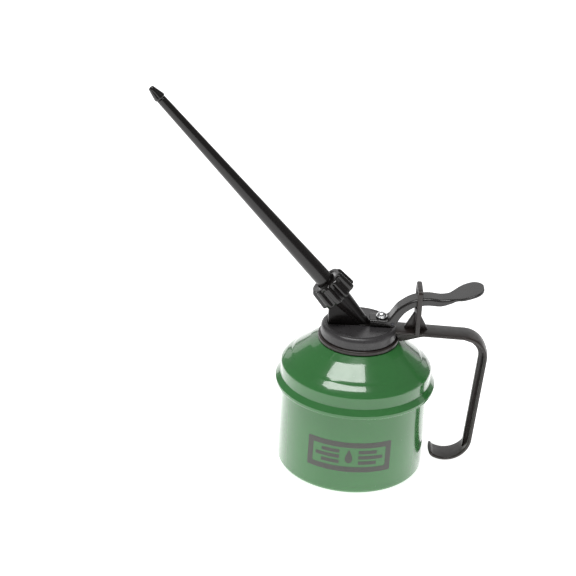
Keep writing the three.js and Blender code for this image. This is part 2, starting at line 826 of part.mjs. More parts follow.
function strainer() {
  const collar = tubeRadius + restGap;
  const top = strainerBottom + strainerHeight;
  const inner = strainerRadius - strainerWall;
  const cup = turned([
    [0, strainerBottom],
    [strainerRadius, strainerBottom],
    [strainerRadius, top],
    [collar, top],
    [collar, top - 1],
    [inner, top - 1],
    [inner, strainerBottom + strainerWall],
    [0, strainerBottom + strainerWall],
  ], 24);
  const slots = [];
  for (let i = 0; i < strainerSlots; i += 1) {
    const slot = new THREE.BoxGeometry(strainerRadius, strainerSlotWidth,
      strainerHeight - 2 * strainerRim);
    slot.translate(strainerRadius, 0, strainerBottom + strainerHeight / 2);
    slots.push(slot.rotateZ(i * 2 * Math.PI / strainerSlots));
  }
  return mesh('strainer', cut(cup, ...slots), brass, 0.4, 0.9);
}

// ---------------------------------------------------------------- spout line, along the outlet's axis

const washerBottom = spigotTop + restGap;
const flangeBottom = washerBottom + washerThickness + restGap;
const flangeTop = flangeBottom + flangeThickness;
const spoutTop = flangeTop + spoutLength;
const nutTop = flangeTop + restGap + nutCeiling;

function spoutRadiusAt(along) {
  const share = (along - flangeTop) / spoutLength;
  return spoutRootRadius + (spoutEndRadius - spoutRootRadius) * share;
}

function spoutWasher() {
  const hole = outletBore + washerRelief;
  const ring = tube(flangeRadius, hole, washerBottom, washerBottom + washerThickness, 32);
  return mesh('spout_washer', ring, rubber, 0.9, 0);
}

function spout() {
  const profile = [
    [spoutRootRadius - spoutWall, flangeBottom],
    [flangeRadius, flangeBottom],
    [flangeRadius, flangeTop],
    [spoutRootRadius, flangeTop],
    [spoutEndRadius, spoutTop],
    [spoutEndRadius - spoutWall, spoutTop],
    [spoutRootRadius - spoutWall, flangeBottom],
  ];
  return mesh('spout', turned(profile, 36), black, 0.4, 0.05);
}

// Grip nut with broad scallops between its ribs.
function collarNut() {
  const bottom = nutTop - nutLength;
  const steps = nutRibs * 6;
  const points = [];
  for (let i = 0; i < steps; i += 1) {
    const angle = i / steps * 2 * Math.PI;
    const wave = Math.abs(Math.cos(angle * nutRibs / 2));
    const radius = nutRadius - nutGroove * (1 - wave ** nutCrown);
    points.push([radius * Math.cos(angle), radius * Math.sin(angle)]);
  }
  const grip = upSlab(points, bottom, nutLength);
  const envelope = turned([
    [0, bottom],
    [nutRadius - nutChamfer, bottom],
    [nutRadius, bottom + nutChamfer],
    ...arc(nutRadius - nutTaper - nutEdge, nutTop - nutEdge, nutEdge, 0, 90, 5),
    [0, nutTop],
  ]);
  const thread = rod(spigotRadius + restGap, bottom - 1, nutTop - nutCeiling, 32);
  const hole = rod(spoutRadiusAt(nutTop - nutCeiling) + restGap, bottom, nutTop + 1, 32);
  return mesh('collar_nut', cut(common(grip, envelope), thread, hole), black, 0.4, 0.05);
}

// Barbed tip: a fluted cone that stands out beyond the tube it is plugged into.
function nozzleTip() {
  const bottom = spoutTop + restGap;
  const shank = spoutEndRadius - spoutWall - restGap;
  const cone = turned([
    [0, bottom - nozzleShank],
    [shank, bottom - nozzleShank],
    [shank, bottom],
    [nozzleShoulder - nozzleRim / 2, bottom],
    [nozzleShoulder, bottom + nozzleRim],
    [nozzleMouth, bottom + nozzleLength],
    [0, bottom + nozzleLength],
  ], 24);
  const grooves = [];
  for (let i = 0; i < nozzleGrooves; i += 1) {
    const groove = new THREE.CylinderGeometry(nozzleGroove, nozzleGroove, nozzleLength * 1.2, 8);
    const lean = Math.atan((nozzleShoulder - nozzleMouth) / nozzleLength);
    groove.rotateX(Math.PI / 2).rotateY(-lean);
    groove.translate((nozzleShoulder + nozzleMouth + nozzleGroove) / 2, 0, bottom + nozzleLength / 2);
    grooves.push(groove.rotateZ((i + 0.5) * 2 * Math.PI / nozzleGrooves));
  }
  const bore = rod(nozzleBore, bottom - nozzleShank - 1, bottom + nozzleLength + 1, 16);
  return mesh('nozzle_tip', cut(cone, bore, ...grooves), black, 0.35, 0.05);
}

function outletLine() {
  const line = new THREE.Group();
  line.position.set(outletFootX, 0, capTop);
  line.rotation.y = -outletTilt;
  const radius = valveChamber - turnGap;
  const outletBall = ball('outlet_ball', radius);
  const seat = spigotTop - valveSeatDepth;
  outletBall.position.z = seat + Math.sqrt(radius ** 2 - outletBore ** 2) + restGap;
  line.add(outletBall, spoutWasher(), spout(), collarNut(), nozzleTip());
  return line;
}

// ---------------------------------------------------------------- assembly

function pumpLine() {
  const line = new THREE.Group();
  line.position.x = pumpX;
  const inletBall = ball('inlet_ball', ballRadius);
  inletBall.position.z = ballCentre;
  line.add(...plungerPieces(), returnSpring(), glandNut(), glandPacking(), pumpBarrel(),
    footValve(), inletBall, suctionTube(), strainer());
  return line;
}

const oiler = new THREE.Group();
oiler.add(canBody(), canShoulder(), neckFerrule(), neckGasket(), pumpHead(), handle());
oiler.add(lever(), leverPin(), pumpLine(), outletLine());

export default oiler;
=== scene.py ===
import json
from math import cos, pi, radians, sin, tan

import bmesh
import bpy
from bpy.props import FloatProperty, FloatVectorProperty, IntProperty, PointerProperty
from bpy.types import Operator, Panel, PropertyGroup
from mathutils import Matrix, Vector


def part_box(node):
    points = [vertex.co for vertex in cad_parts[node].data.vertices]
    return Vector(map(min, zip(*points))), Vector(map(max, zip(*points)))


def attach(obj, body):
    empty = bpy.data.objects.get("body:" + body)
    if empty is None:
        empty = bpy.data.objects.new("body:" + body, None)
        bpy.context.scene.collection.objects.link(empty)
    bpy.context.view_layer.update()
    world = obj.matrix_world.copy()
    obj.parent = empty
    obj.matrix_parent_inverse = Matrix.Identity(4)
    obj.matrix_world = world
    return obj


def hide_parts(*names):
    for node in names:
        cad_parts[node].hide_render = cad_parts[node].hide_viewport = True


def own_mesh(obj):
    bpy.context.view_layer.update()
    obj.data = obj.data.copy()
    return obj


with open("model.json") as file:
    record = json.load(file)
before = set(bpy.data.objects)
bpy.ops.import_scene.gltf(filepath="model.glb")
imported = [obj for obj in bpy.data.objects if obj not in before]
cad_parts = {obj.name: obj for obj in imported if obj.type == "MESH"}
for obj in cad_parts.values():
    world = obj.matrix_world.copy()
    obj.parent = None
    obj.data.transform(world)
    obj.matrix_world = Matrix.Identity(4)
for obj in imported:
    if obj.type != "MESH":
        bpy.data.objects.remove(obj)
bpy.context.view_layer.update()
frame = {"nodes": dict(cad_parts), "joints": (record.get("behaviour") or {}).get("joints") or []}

bl_info = {
    "name": "Handy oiler can",
    "version": (1, 0, 0),
    "blender": (4, 5, 0),
    "location": "3D View > Sidebar > Oiler",
    "description": "Builds the finished surfaces of a pump oiler can round its CAD frame",
    "category": "Add Mesh",
}

# ------------------------------------------------------------------ places taken from the frame

MM = 0.001
JOINTS = {joint["name"]: joint for joint in frame["joints"]}


def reach(node):
    """Largest X of a CAD node, in millimetres."""
    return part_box(node)[1][0] / MM


def foot(node):
    """Lowest Z of a CAD node, in millimetres."""
    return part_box(node)[0][2] / MM


def head(node):
    """Highest Z of a CAD node, in millimetres."""
    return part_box(node)[1][2] / MM


def joint_place(name):
    """Where a joint's axis stands, in millimetres."""
    return Vector(JOINTS[name]["pos_m"]) / MM


GAP = 0.3  # clearance between neighbouring parts
FLANGE_REACH = 2.4  # how far the neck's flange stands out past its thread
SKIRT_PLAY = 0.4  # between the neck's thread and the bores round it
RING_HEIGHT = 2.6
OUTLET = joint_place("nut_turn")
OUTLET_AXIS = Vector(JOINTS["nut_turn"]["axis"]).normalized()
PIVOT = joint_place("lever_press")
CAP_TOP = OUTLET.z
CAN_RADIUS = reach("can_body")
BEAD_RADIUS = reach("can_shoulder")
NECK_SEAT = head("can_shoulder")
NECK_RADIUS = reach("neck_ferrule") - FLANGE_REACH
PUMP_X = (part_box("plunger_cap")[0][0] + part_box("plunger_cap")[1][0]) / 2 / MM
RING_BOTTOM = NECK_SEAT + GAP
HOOK_BOTTOM = foot("handle")
HANDLE_OUT = reach("handle")
ROUND = 192  # steps of a full turn on the can and the cap


# ------------------------------------------------------------------ settings

class OILER_PG_can(PropertyGroup):
    """Painted can."""
    paint: FloatVectorProperty(
        name="Paint", description="Colour of the stove enamel", subtype="COLOR", size=3,
        min=0, max=1, default=(0.043, 0.200, 0.052))
    paint_roughness: FloatProperty(
        name="Paint roughness", description="Roughness under the clear surface", subtype="FACTOR",
        min=0, max=1, default=0.22)
    peel: FloatProperty(
        name="Orange peel", description="Height of the waviness left by spraying", unit="LENGTH",
        min=0, max=0.0002, precision=6, default=0.000012)
    wall: FloatProperty(
        name="Sheet thickness", description="Thickness of the can's sheet metal", unit="LENGTH",
        min=0.0003, max=0.002, precision=5, default=0.001)
    base_lift: FloatProperty(
        name="Base lift", description="How far the base is pressed in above its rim",
        unit="LENGTH", min=0, max=0.003, precision=5, default=0.0007)


class OILER_PG_print(PropertyGroup):
    """Printed frame and drop on the front of the can."""
    ink: FloatVectorProperty(
        name="Ink", description="Colour of the print", subtype="COLOR", size=3, min=0, max=1,
        default=(0.066, 0.070, 0.058))
    width: FloatProperty(
        name="Width", description="Width of the printed frame along the wall", unit="LENGTH",
        min=0.01, max=0.1, default=0.0505)
    height: FloatProperty(
        name="Height", description="Height of the printed frame", unit="LENGTH",
        min=0.005, max=0.04, default=0.0195)
    border: FloatProperty(
        name="Border", description="Width of the frame's line", unit="LENGTH",
        min=0.0005, max=0.008, default=0.0034)
    centre_height: FloatProperty(
        name="Centre height", description="Height of the print's centre above the base",
        unit="LENGTH", min=0, max=0.05, default=0.0250)
    turn: FloatProperty(
        name="Turn", description="Where the print's centre stands, turned from the front",
        unit="ROTATION", min=-pi, max=pi, default=radians(-4.1))


class OILER_PG_mouldings(PropertyGroup):
    """Black mouldings: the head, the handle, the lever and the nut."""
    # The head's colour is its own black made lighter, standing in for the bright surroundings that
    # the cap's top reflects: part own colour, part painted reflection.
    head_colour_painted_sheen: FloatVectorProperty(
        name="Head", description="Colour of the pump head", subtype="COLOR", size=3, min=0,
        max=1, default=(0.050, 0.0475, 0.0495))
    handle_colour: FloatVectorProperty(
        name="Handle", description="Colour of the handle and the lever", subtype="COLOR",
        size=3, min=0, max=1, default=(0.024, 0.0175, 0.0155))
    spout_colour: FloatVectorProperty(
        name="Spout", description="Colour of the spout and its nut", subtype="COLOR", size=3,
        min=0, max=1, default=(0.0085, 0.0072, 0.0070))
    grain: FloatProperty(
        name="Mould grain", description="Height of the fine grain of the mould",
        unit="LENGTH", min=0, max=0.0001, precision=6, default=0.000010)
    crown: FloatProperty(
        name="Strap crown", description="How much the handle's outer face is domed",
        unit="LENGTH", min=0, max=0.002, precision=5, default=0.0007)
    nut_ribs: IntProperty(
        name="Nut ribs", description="Number of grip ribs round the spout nut",
        min=4, max=40, default=10)
    nozzle_flutes: IntProperty(
        name="Nozzle flutes", description="Number of flutes in the nozzle's cone",
        min=0, max=12, default=6)


class OILER_PG_stage(PropertyGroup):
    """Floor, light and camera."""
    floor: FloatVectorProperty(
        name="Floor", description="Colour of the floor", subtype="COLOR", size=3, min=0, max=1,
        default=(0.93, 0.93, 0.93))
    glow: FloatProperty(
        name="Floor glow", description="How much the translucent floor is lit from below",
        min=0, max=5, default=0.92)
    key: FloatProperty(
        name="Key light", description="Power of the overhead soft box in watts", min=0,
        max=500, default=9.5)
    fill: FloatProperty(
        name="Fill light", description="Power of each side soft box in watts", min=0,
        max=500, default=1.8)
    back: FloatProperty(
        name="Back panel", description="Power of the wide panel behind the can in watts",
        min=0, max=500, default=11)
    sky: FloatProperty(
        name="Surroundings", description="Strength of the even light from all round", min=0,
        max=5, default=0.18)
    distance: FloatProperty(
        name="Camera distance", description="From the camera to the point it looks at",
        unit="LENGTH", min=0.3, max=5, default=1.214)
    azimuth: FloatProperty(
        name="Camera azimuth", description="Camera's turn from the front", unit="ROTATION",
        min=-pi, max=pi, default=radians(-1.85))
    elevation: FloatProperty(
        name="Camera elevation", description="Camera's height angle above level",
        unit="ROTATION", min=0, max=pi / 2, default=radians(26.56))
    roll: FloatProperty(
        name="Camera roll", description="Camera's turn about its own axis", unit="ROTATION",
        min=-pi, max=pi, default=radians(3.5))
    lens: FloatProperty(
        name="Lens", description="Focal length in millimetres on a 36 mm sensor", min=20,
        max=300, default=131.55)


# ------------------------------------------------------------------ lines

def arc(centre_x, centre_y, radius, start, end, steps):
    """Points of an arc between two angles in degrees."""
    points = []
    for i in range(steps + 1):
        angle = radians(start + (end - start) * i / steps)
        points.append((centre_x + radius * cos(angle), centre_y + radius * sin(angle)))
    return points


def softened(corners, steps=4):
    """A line whose corners, given as (x, y, radius), are rounded."""
    line = []
    for i, corner in enumerate(corners):
        here = Vector(corner[:2])
        radius = corner[2] if len(corner) > 2 else 0
        if radius <= 0 or i in (0, len(corners) - 1):
            line.append(tuple(here))
            continue
        back = (Vector(corners[i - 1][:2]) - here).normalized()
        ahead = (Vector(corners[i + 1][:2]) - here).normalized()
        half = back.angle(ahead) / 2
        run = radius / tan(half)
        centre = here + (back + ahead).normalized() * (radius / sin(half))
        start = here + back * run - centre
        end = here + ahead * run - centre
        sweep = start.angle_signed(end)
        for k in range(steps + 1):
            turned = start.copy()
            turned.rotate(Matrix.Rotation(-sweep * k / steps, 2))
            line.append(tuple(centre + turned))
    return line


def smooth_line(points, steps):
    """A curve through points of any dimension, with a number of steps for each gap."""
    points = [Vector(point) for point in points]
    padded = [2 * points[0] - points[1], *points, 2 * points[-1] - points[-2]]
    line = [points[0]]
    for a, b, c, d in zip(padded, padded[1:], padded[2:], padded[3:]):
        for k in range(1, steps + 1):
            t = k / steps
            line.append(0.5 * (2 * b + (c - a) * t + (2 * a - 5 * b + 4 * c - d) * t * t
                               + (3 * b - a - 3 * c + d) * t * t * t))
    return line


# ------------------------------------------------------------------ mesh helpers

def spun(profile, closed=False, steps=ROUND):
    """A bmesh spun round Z from (radius, height) pairs in millimetres."""
    bm = bmesh.new()
    verts = [bm.verts.new((radius * MM, 0, height * MM)) for radius, height in profile]
    edges = [bm.edges.new(pair) for pair in zip(verts, verts[1:])]
    if closed:
        edges.append(bm.edges.new((verts[-1], verts[0])))
    bmesh.ops.spin(bm, geom=verts + edges, cent=(0, 0, 0), axis=(0, 0, 1), dvec=(0, 0, 0),
                   angle=2 * pi, steps=steps, use_merge=True, use_duplicate=False)
    bmesh.ops.remove_doubles(bm, verts=bm.verts, dist=1e-6)
    bmesh.ops.recalc_face_normals(bm, faces=bm.faces)
    return bm


def lofted(rings, closed=False):
    """A bmesh extruded from ring to ring of points in millimetres, ends filled or joined."""
    bm = bmesh.new()
    count = len(rings[0])
    first = [bm.verts.new(Vector(point) * MM) for point in rings[0]]
    loop = [bm.edges.new((first[i], first[(i + 1) % count])) for i in range(count)]
    first_loop = loop
    ring = first
    for points in rings[1:]:
        made = bmesh.ops.extrude_edge_only(bm, edges=loop)["geom"]
        fresh = {item for item in made if isinstance(item, bmesh.types.BMVert)}
        partner = {}
        for vert in fresh:
            for edge in vert.link_edges:
                other = edge.other_vert(vert)
                if other not in fresh:
                    partner[other] = vert
        ring = [partner[vert] for vert in ring]
        for vert, point in zip(ring, points):
            vert.co = Vector(point) * MM
        loop = [bm.edges.get((ring[i], ring[(i + 1) % count])) for i in range(count)]
    if closed:
        bmesh.ops.bridge_loops(bm, edges=first_loop + loop)
    else:
        bmesh.ops.holes_fill(bm, edges=first_loop + loop, sides=0)
    bmesh.ops.recalc_face_normals(bm, faces=bm.faces)
    return bm


def slab(outline, width, edge):
    """A bmesh of an outline in X and Z with a width across Y and rounded long edges."""
    bm = bmesh.new()
    near = -width / 2 * MM
    face = bm.faces.new([bm.verts.new((x * MM, near, z * MM)) for x, z in outline])
    made = bmesh.ops.extrude_face_region(bm, geom=[face])["geom"]
    verts = [item for item in made if isinstance(item, bmesh.types.BMVert)]
    bmesh.ops.translate(bm, vec=(0, width * MM, 0), verts=verts)
    bmesh.ops.recalc_face_normals(bm, faces=bm.faces)
    flat = [f for f in bm.faces if abs(f.normal.y) > 0.99]
    rim = list({e for f in flat for e in f.edges})
    bmesh.ops.bevel(bm, geom=rim, offset=edge * MM, offset_type="OFFSET", affect="EDGES",
                    segments=3, profile=0.5, material=-1)
    return bm


def outlet_matrix():
    """Carries a shape spun round Z onto the leaning outlet's axis."""
    lean = OUTLET_AXIS.to_track_quat("Z", "Y").to_matrix().to_4x4()
    return Matrix.Translation(OUTLET * MM) @ lean


def placed(bm, matrix):
    """The bmesh, moved by a matrix."""
    bmesh.ops.transform(bm, matrix=matrix, verts=bm.verts)
    return bm


def piece(name, bm, material, body, replaces=(), crease=35):
    """Makes a bmesh a finished piece that rides on a body."""
    mesh = bpy.data.meshes.new(name)
    bm.to_mesh(mesh)
    bm.free()
    mesh.shade_smooth()
    mesh.set_sharp_from_angle(angle=radians(crease))
    mesh.materials.append(material)
    item = bpy.data.objects.new(name, mesh)
    bpy.context.scene.collection.objects.link(item)
    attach(item, body)
    if replaces:
        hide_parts(*replaces)
    return item


def carved(bm, cutters):
    """The bmesh with the cutters' shapes taken out of it."""
    scene = bpy.context.scene
    helpers = []
    for shape in (bm, *cutters):
        mesh = bpy.data.meshes.new("carving")
        shape.to_mesh(mesh)
        shape.free()
        helper = bpy.data.objects.new("carving", mesh)
        scene.collection.objects.link(helper)
        helpers.append(helper)
    body = helpers[0]
    for cutter in helpers[1:]:
        step = body.modifiers.new("cut", "BOOLEAN")
        step.operation = "DIFFERENCE"
        step.solver = "EXACT"
        step.object = cutter
    graph = bpy.context.evaluated_depsgraph_get()
    result = bmesh.new()
    result.from_mesh(body.evaluated_get(graph).to_mesh())
    body.evaluated_get(graph).to_mesh_clear()
    for helper in helpers:
        mesh = helper.data
        bpy.data.objects.remove(helper)
        bpy.data.meshes.remove(mesh)
    return result


def peg(radius, bottom, top, x=0.0, steps=48):
    """A plain closed cylinder for carving."""
    bm = spun([(0, bottom), (radius, bottom), (radius, top), (0, top)], steps=steps)
    return placed(bm, Matrix.Translation((x * MM, 0, 0)))


def pin_hole():
    """A cutter for the lever's pin, across the width at its pivot."""
    hole = placed(peg(1.05, -8, 8, steps=32), Matrix.Rotation(pi / 2, 4, "X"))
    return placed(hole, Matrix.Translation(PIVOT * MM))


def hoop(centre, radius, across, along, count):
    """A ring of points round a centre, in the plane of two directions."""
    return [centre + radius * (cos(2 * pi * k / count) * across
                               + sin(2 * pi * k / count) * along) for k in range(count)]


def level_ring(count, height, radius_at):
    """A level ring of points round Z, whose radius follows from the angle."""
    points = []
    for i in range(count):
        angle = 2 * pi * i / count
        here = radius_at(angle)
        points.append((here * cos(angle), here * sin(angle), height))
    return points


# ------------------------------------------------------------------ materials

def material_with(name):
    """A new material with its node tree and its principled node."""
    material = bpy.data.materials.new(name)
    material.use_nodes = True
    tree = material.node_tree
    return material, tree, tree.nodes["Principled BSDF"]


def set_inputs(node, values):
    """Sets a node's sockets by name."""
    for socket, value in values.items():
        node.inputs[socket].default_value = value


def noise_on(tree, scale, detail, roughness=0.5, stretch=(1, 1, 1)):
    """Noise read from the piece's own coordinates in metres."""
    place = tree.nodes.new("ShaderNodeTexCoord")
    shape = tree.nodes.new("ShaderNodeMapping")
    noise = tree.nodes.new("ShaderNodeTexNoise")
    set_inputs(shape, {"Scale": stretch})
    set_inputs(noise, {"Scale": scale, "Detail": detail, "Roughness": roughness})
    tree.links.new(place.outputs["Object"], shape.inputs["Vector"])
    tree.links.new(shape.outputs["Vector"], noise.inputs["Vector"])
    return noise.outputs["Fac"]


def ramp_into(tree, factor, socket, *stops):
    """Feeds a socket from a factor, through a ramp between two colours or two greys."""
    ramp = tree.nodes.new("ShaderNodeValToRGB")
    for element, (place, colour) in zip(ramp.color_ramp.elements, stops):
        grey = isinstance(colour, (int, float))
        element.position = place
        element.color = (colour, colour, colour, 1) if grey else (*colour, 1)
    tree.links.new(factor, ramp.inputs["Fac"])
    tree.links.new(ramp.outputs["Color"], socket)


def bump_on(tree, surface, *layers):
    """Stacks bump layers of (height, distance in metres)."""
    last = None
    for height, distance in layers:
        bump = tree.nodes.new("ShaderNodeBump")
        set_inputs(bump, {"Strength": 1.0, "Distance": distance})
        tree.links.new(height, bump.inputs["Height"])
        if last is not None:
            tree.links.new(last, bump.inputs["Normal"])
        last = bump.outputs["Normal"]
    tree.links.new(last, surface.inputs["Normal"])


def tinted(colour, factor):
    """A colour made darker or lighter by a factor."""
    return tuple(min(1.0, channel * factor) for channel in colour)


def enamel(name, colour, roughness, peel):
    """Sprayed and baked glossy paint."""
    material, tree, surface = material_with(name)
    ramp_into(tree, noise_on(tree, 22, 2), surface.inputs["Base Color"],
              (0.3, tinted(colour, 0.93)), (0.7, tinted(colour, 1.07)))
    ramp_into(tree, noise_on(tree, 240, 6, 0.65), surface.inputs["Roughness"],
              (0.35, roughness * 0.75), (0.75, roughness * 1.35))
    set_inputs(surface, {"IOR": 1.5, "Specular IOR Level": 0.35, "Coat Weight": 1.0,
                         "Coat Roughness": 0.035, "Coat IOR": 1.48})
    bump_on(tree, surface, (noise_on(tree, 420, 1), peel), (noise_on(tree, 60, 1), peel * 1.5))
    return material


def moulding(name, colour, roughness, grain, gloss):
    """Moulded plastic or stove-blacked metal with a fine grain."""
    material, tree, surface = material_with(name)
    ramp_into(tree, noise_on(tree, 90, 4, 0.6), surface.inputs["Base Color"],
              (0.3, tinted(colour, 0.85)), (0.72, tinted(colour, 1.2)))
    ramp_into(tree, noise_on(tree, 300, 5, 0.7), surface.inputs["Roughness"],
              (0.3, roughness * 0.8), (0.75, roughness * 1.25))
    set_inputs(surface, {"Specular IOR Level": gloss})
    bump_on(tree, surface, (noise_on(tree, 2600, 2), grain), (noise_on(tree, 160, 2), grain * 2))
    return material


def metal(name, colour, roughness, stretch=(1, 1, 1), scratch=0.000004):
    """Bare or plated metal with fine tool marks."""
    material, tree, surface = material_with(name)
    set_inputs(surface, {"Metallic": 1.0})
    ramp_into(tree, noise_on(tree, 130, 4, 0.6), surface.inputs["Base Color"],
              (0.3, tinted(colour, 0.88)), (0.7, tinted(colour, 1.06)))
    marks = noise_on(tree, 900, 3, 0.6, stretch)
    ramp_into(tree, marks, surface.inputs["Roughness"],
              (0.3, roughness * 0.7), (0.7, roughness * 1.4))
    bump_on(tree, surface, (marks, scratch))
    return material


def rubber(name):
    """Dull black rubber."""
    material, tree, surface = material_with(name)
    cloud = noise_on(tree, 200, 5, 0.7)
    ramp_into(tree, cloud, surface.inputs["Base Color"], (0.3, 0.012), (0.7, 0.028))
    ramp_into(tree, cloud, surface.inputs["Roughness"], (0.3, 0.75), (0.7, 0.92))
    bump_on(tree, surface, (noise_on(tree, 1800, 3), 0.00001))
    return material


def ink_on_paint(name, colour, roughness):
    """Screen ink: thin, slightly dull and a little uneven."""
    material, tree, surface = material_with(name)
    cloud = noise_on(tree, 380, 6, 0.7)
    ramp_into(tree, cloud, surface.inputs["Base Color"],
              (0.25, tinted(colour, 0.82)), (0.8, tinted(colour, 1.2)))
    ramp_into(tree, cloud, surface.inputs["Roughness"],
              (0.3, roughness * 0.85), (0.7, roughness * 1.2))
    set_inputs(surface, {"Coat Weight": 0.35, "Coat Roughness": 0.12})
    bump_on(tree, surface, (noise_on(tree, 1500, 2), 0.000006))
    return material


FINISHES = {}


def finish(name):
    """One shared material for each finish, made when it is first asked for."""
    if name in FINISHES:
        return FINISHES[name]
    scene = bpy.context.scene
    can, moulds = scene.oiler_can, scene.oiler_mouldings
    grain = moulds.grain
    makers = {
        "green_enamel": lambda: enamel(name, can.paint, can.paint_roughness, can.peel),
        "print_ink": lambda: ink_on_paint(name, scene.oiler_print.ink, 0.42),
        # The cap's lighter black is part own colour, part painted reflection of the bright
        # surroundings.
        "cap_moulding_painted_sheen": lambda: moulding(name, moulds.head_colour_painted_sheen, 0.30, grain, 0.5),
        # The boss, web and lug are the same moulding as the cap, but they take the spout's darker
        # colour and less gloss: painted shade.
        "boss_moulding_painted_shade": lambda: moulding(name, moulds.spout_colour, 0.22, grain, 0.20),
        "lever_enamel": lambda: moulding(name, moulds.spout_colour, 0.26, grain, 0.75),
        "handle_moulding": lambda: moulding(name, moulds.handle_colour, 0.36, grain, 0.6),
        "spout_moulding": lambda: moulding(name, moulds.spout_colour, 0.15, grain, 0.55),
        "bright_chrome": lambda: metal(name, (0.93, 0.94, 0.95), 0.26, scratch=0.000001),
        "bright_steel": lambda: metal(name, (0.52, 0.53, 0.55), 0.28, (1, 1, 12)),
        "dark_steel": lambda: metal(name, (0.10, 0.10, 0.11), 0.35),
        "turned_brass": lambda: metal(name, (0.66, 0.47, 0.19), 0.25, (1, 1, 14)),
        "soft_rubber": lambda: rubber(name),
    }
    FINISHES[name] = makers[name]()
    return FINISHES[name]


# ------------------------------------------------------------------ can

BAND_RADIUS = BEAD_RADIUS - 2.8
BEAD_HEIGHT = 54
BAND_TOP = 65.6
BAND_EDGE = 1.6
RING_RADIUS = 23.55
DOME_LINE = [  # radius and height
    (42.75, 66.10), (41.45, 67.35), (40.2, 68.33),  # knee
    (38.45, 69.70), (37.7, 70.42), (37.0, 71.05), (36.2, 71.70),  # swage
    (32.2, 74.78), (28.6, 77.50),  # cone
    (27.8, 78.05), (26.6, 78.78), (25.0, 79.74),  # collar
]
COVER_WALL = 0.8
BASE_THICK = 1.2
FOOT_ROUND = 3.2
INK_HEIGHT = 0.05


def dome_points(drop, steps):
    """The dome's line from the band to the neck, set in by a thickness.

    Going down it is a flat collar, a long cone, a shallow swage and a knee."""
    lean = radians(45)
    start = (BAND_RADIUS - BAND_EDGE * (1 - cos(lean)), BAND_TOP - BAND_EDGE * (1 - sin(lean)))
    line = smooth_line([start, *DOME_LINE, (RING_RADIUS, NECK_SEAT - 0.10)], steps)
    points = []
    for i, at in enumerate(line):
        heading = (line[min(i + 1, len(line) - 1)] - line[max(i - 1, 0)]).normalized()
        points.append((at.x - drop * heading.y, at.y + drop * heading.x))
    return points


def build_cup(settings):
    """Drawn cup with a pressed-in base and a rounded foot."""
    wall = settings.wall / MM
    lift = settings.base_lift / MM
    outer = CAN_RADIUS
    inner = outer - wall
    top = head("can_body")
    profile = [
        (0, lift),
        (outer - 7.2, lift),
        (outer - 6.0, lift * 0.6),
        (outer - 5.2, 0.06),
        (outer - 4.6, 0),
        *arc(outer - FOOT_ROUND, FOOT_ROUND, FOOT_ROUND, -90, 0, 12),
        (outer, 20),
        (outer, 40),
        (outer, top - 0.3),
        (outer - 0.3, top),
        (inner + 0.2, top),
        (inner, top - 0.2),
        (inner, 40),
        *arc(inner - 2.2, BASE_THICK + 2.2, 2.2, 0, -90, 8),
        (0, BASE_THICK + lift),
    ]
    piece("can_cup", spun(profile), finish("green_enamel"), "can", ("can_body",))


def build_cover():
    """Shoulder with its rolled bead, straight band, dome and neck seat."""
    inside = CAN_RADIUS + GAP
    reach_out = BEAD_RADIUS - BAND_RADIUS
    hole = NECK_RADIUS + GAP
    profile = softened([
        (inside + 0.3, BEAD_HEIGHT - 1.8),
        (BEAD_RADIUS, BEAD_HEIGHT - 1.8, 1.0),
        (BEAD_RADIUS, BEAD_HEIGHT + 0.55, 0.5),
        (BAND_RADIUS, BEAD_HEIGHT + 0.55 + reach_out * 1.06, 0.7),
        (BAND_RADIUS, 61),
    ], steps=6)
    profile = [
        (inside, BEAD_HEIGHT - 1.5),
        *profile,
        *arc(BAND_RADIUS - BAND_EDGE, BAND_TOP - BAND_EDGE, BAND_EDGE, 0, 40, 6),
        *dome_points(0, 5),
        (hole + 0.3, NECK_SEAT),
        (hole, NECK_SEAT - 0.3),
        (hole, NECK_SEAT - COVER_WALL),
        *reversed(dome_points(COVER_WALL, 2)),
        (inside, BAND_TOP - BAND_EDGE - COVER_WALL),
    ]
    piece("can_cover", spun(profile, closed=True), finish("green_enamel"), "can",
          ("can_shoulder",))


def wrapped(bm, centre_height, turn):
    """Lays a flat bmesh in X and Z round the can's wall as a film of ink."""
    step = 1.5 * MM
    low = min(vert.co.x for vert in bm.verts)
    high = max(vert.co.x for vert in bm.verts)
    for i in range(int(low / step), int(high / step) + 1):
        bmesh.ops.bisect_plane(bm, geom=bm.verts[:] + bm.edges[:] + bm.faces[:], dist=1e-7,
                               plane_co=((i + 0.01) * step, 0, 0), plane_no=(1, 0, 0))
    made = bmesh.ops.extrude_face_region(bm, geom=bm.faces[:])["geom"]
    raised = [item for item in made if isinstance(item, bmesh.types.BMVert)]
    bmesh.ops.translate(bm, vec=(0, -INK_HEIGHT * MM, 0), verts=raised)
    wall = (CAN_RADIUS + 0.01) * MM
    for vert in bm.verts:
        angle = vert.co.x / wall + turn
        radius = wall - vert.co.y
        vert.co = (radius * sin(angle), -radius * cos(angle), vert.co.z + centre_height)
    bmesh.ops.recalc_face_normals(bm, faces=bm.faces)
    return bm


def flat_face(points):
    """A flat bmesh face in X and Z from points in millimetres."""
    bm = bmesh.new()
    bm.faces.new([bm.verts.new((x * MM, 0, z * MM)) for x, z in points])
    bm.normal_update()
    return bm


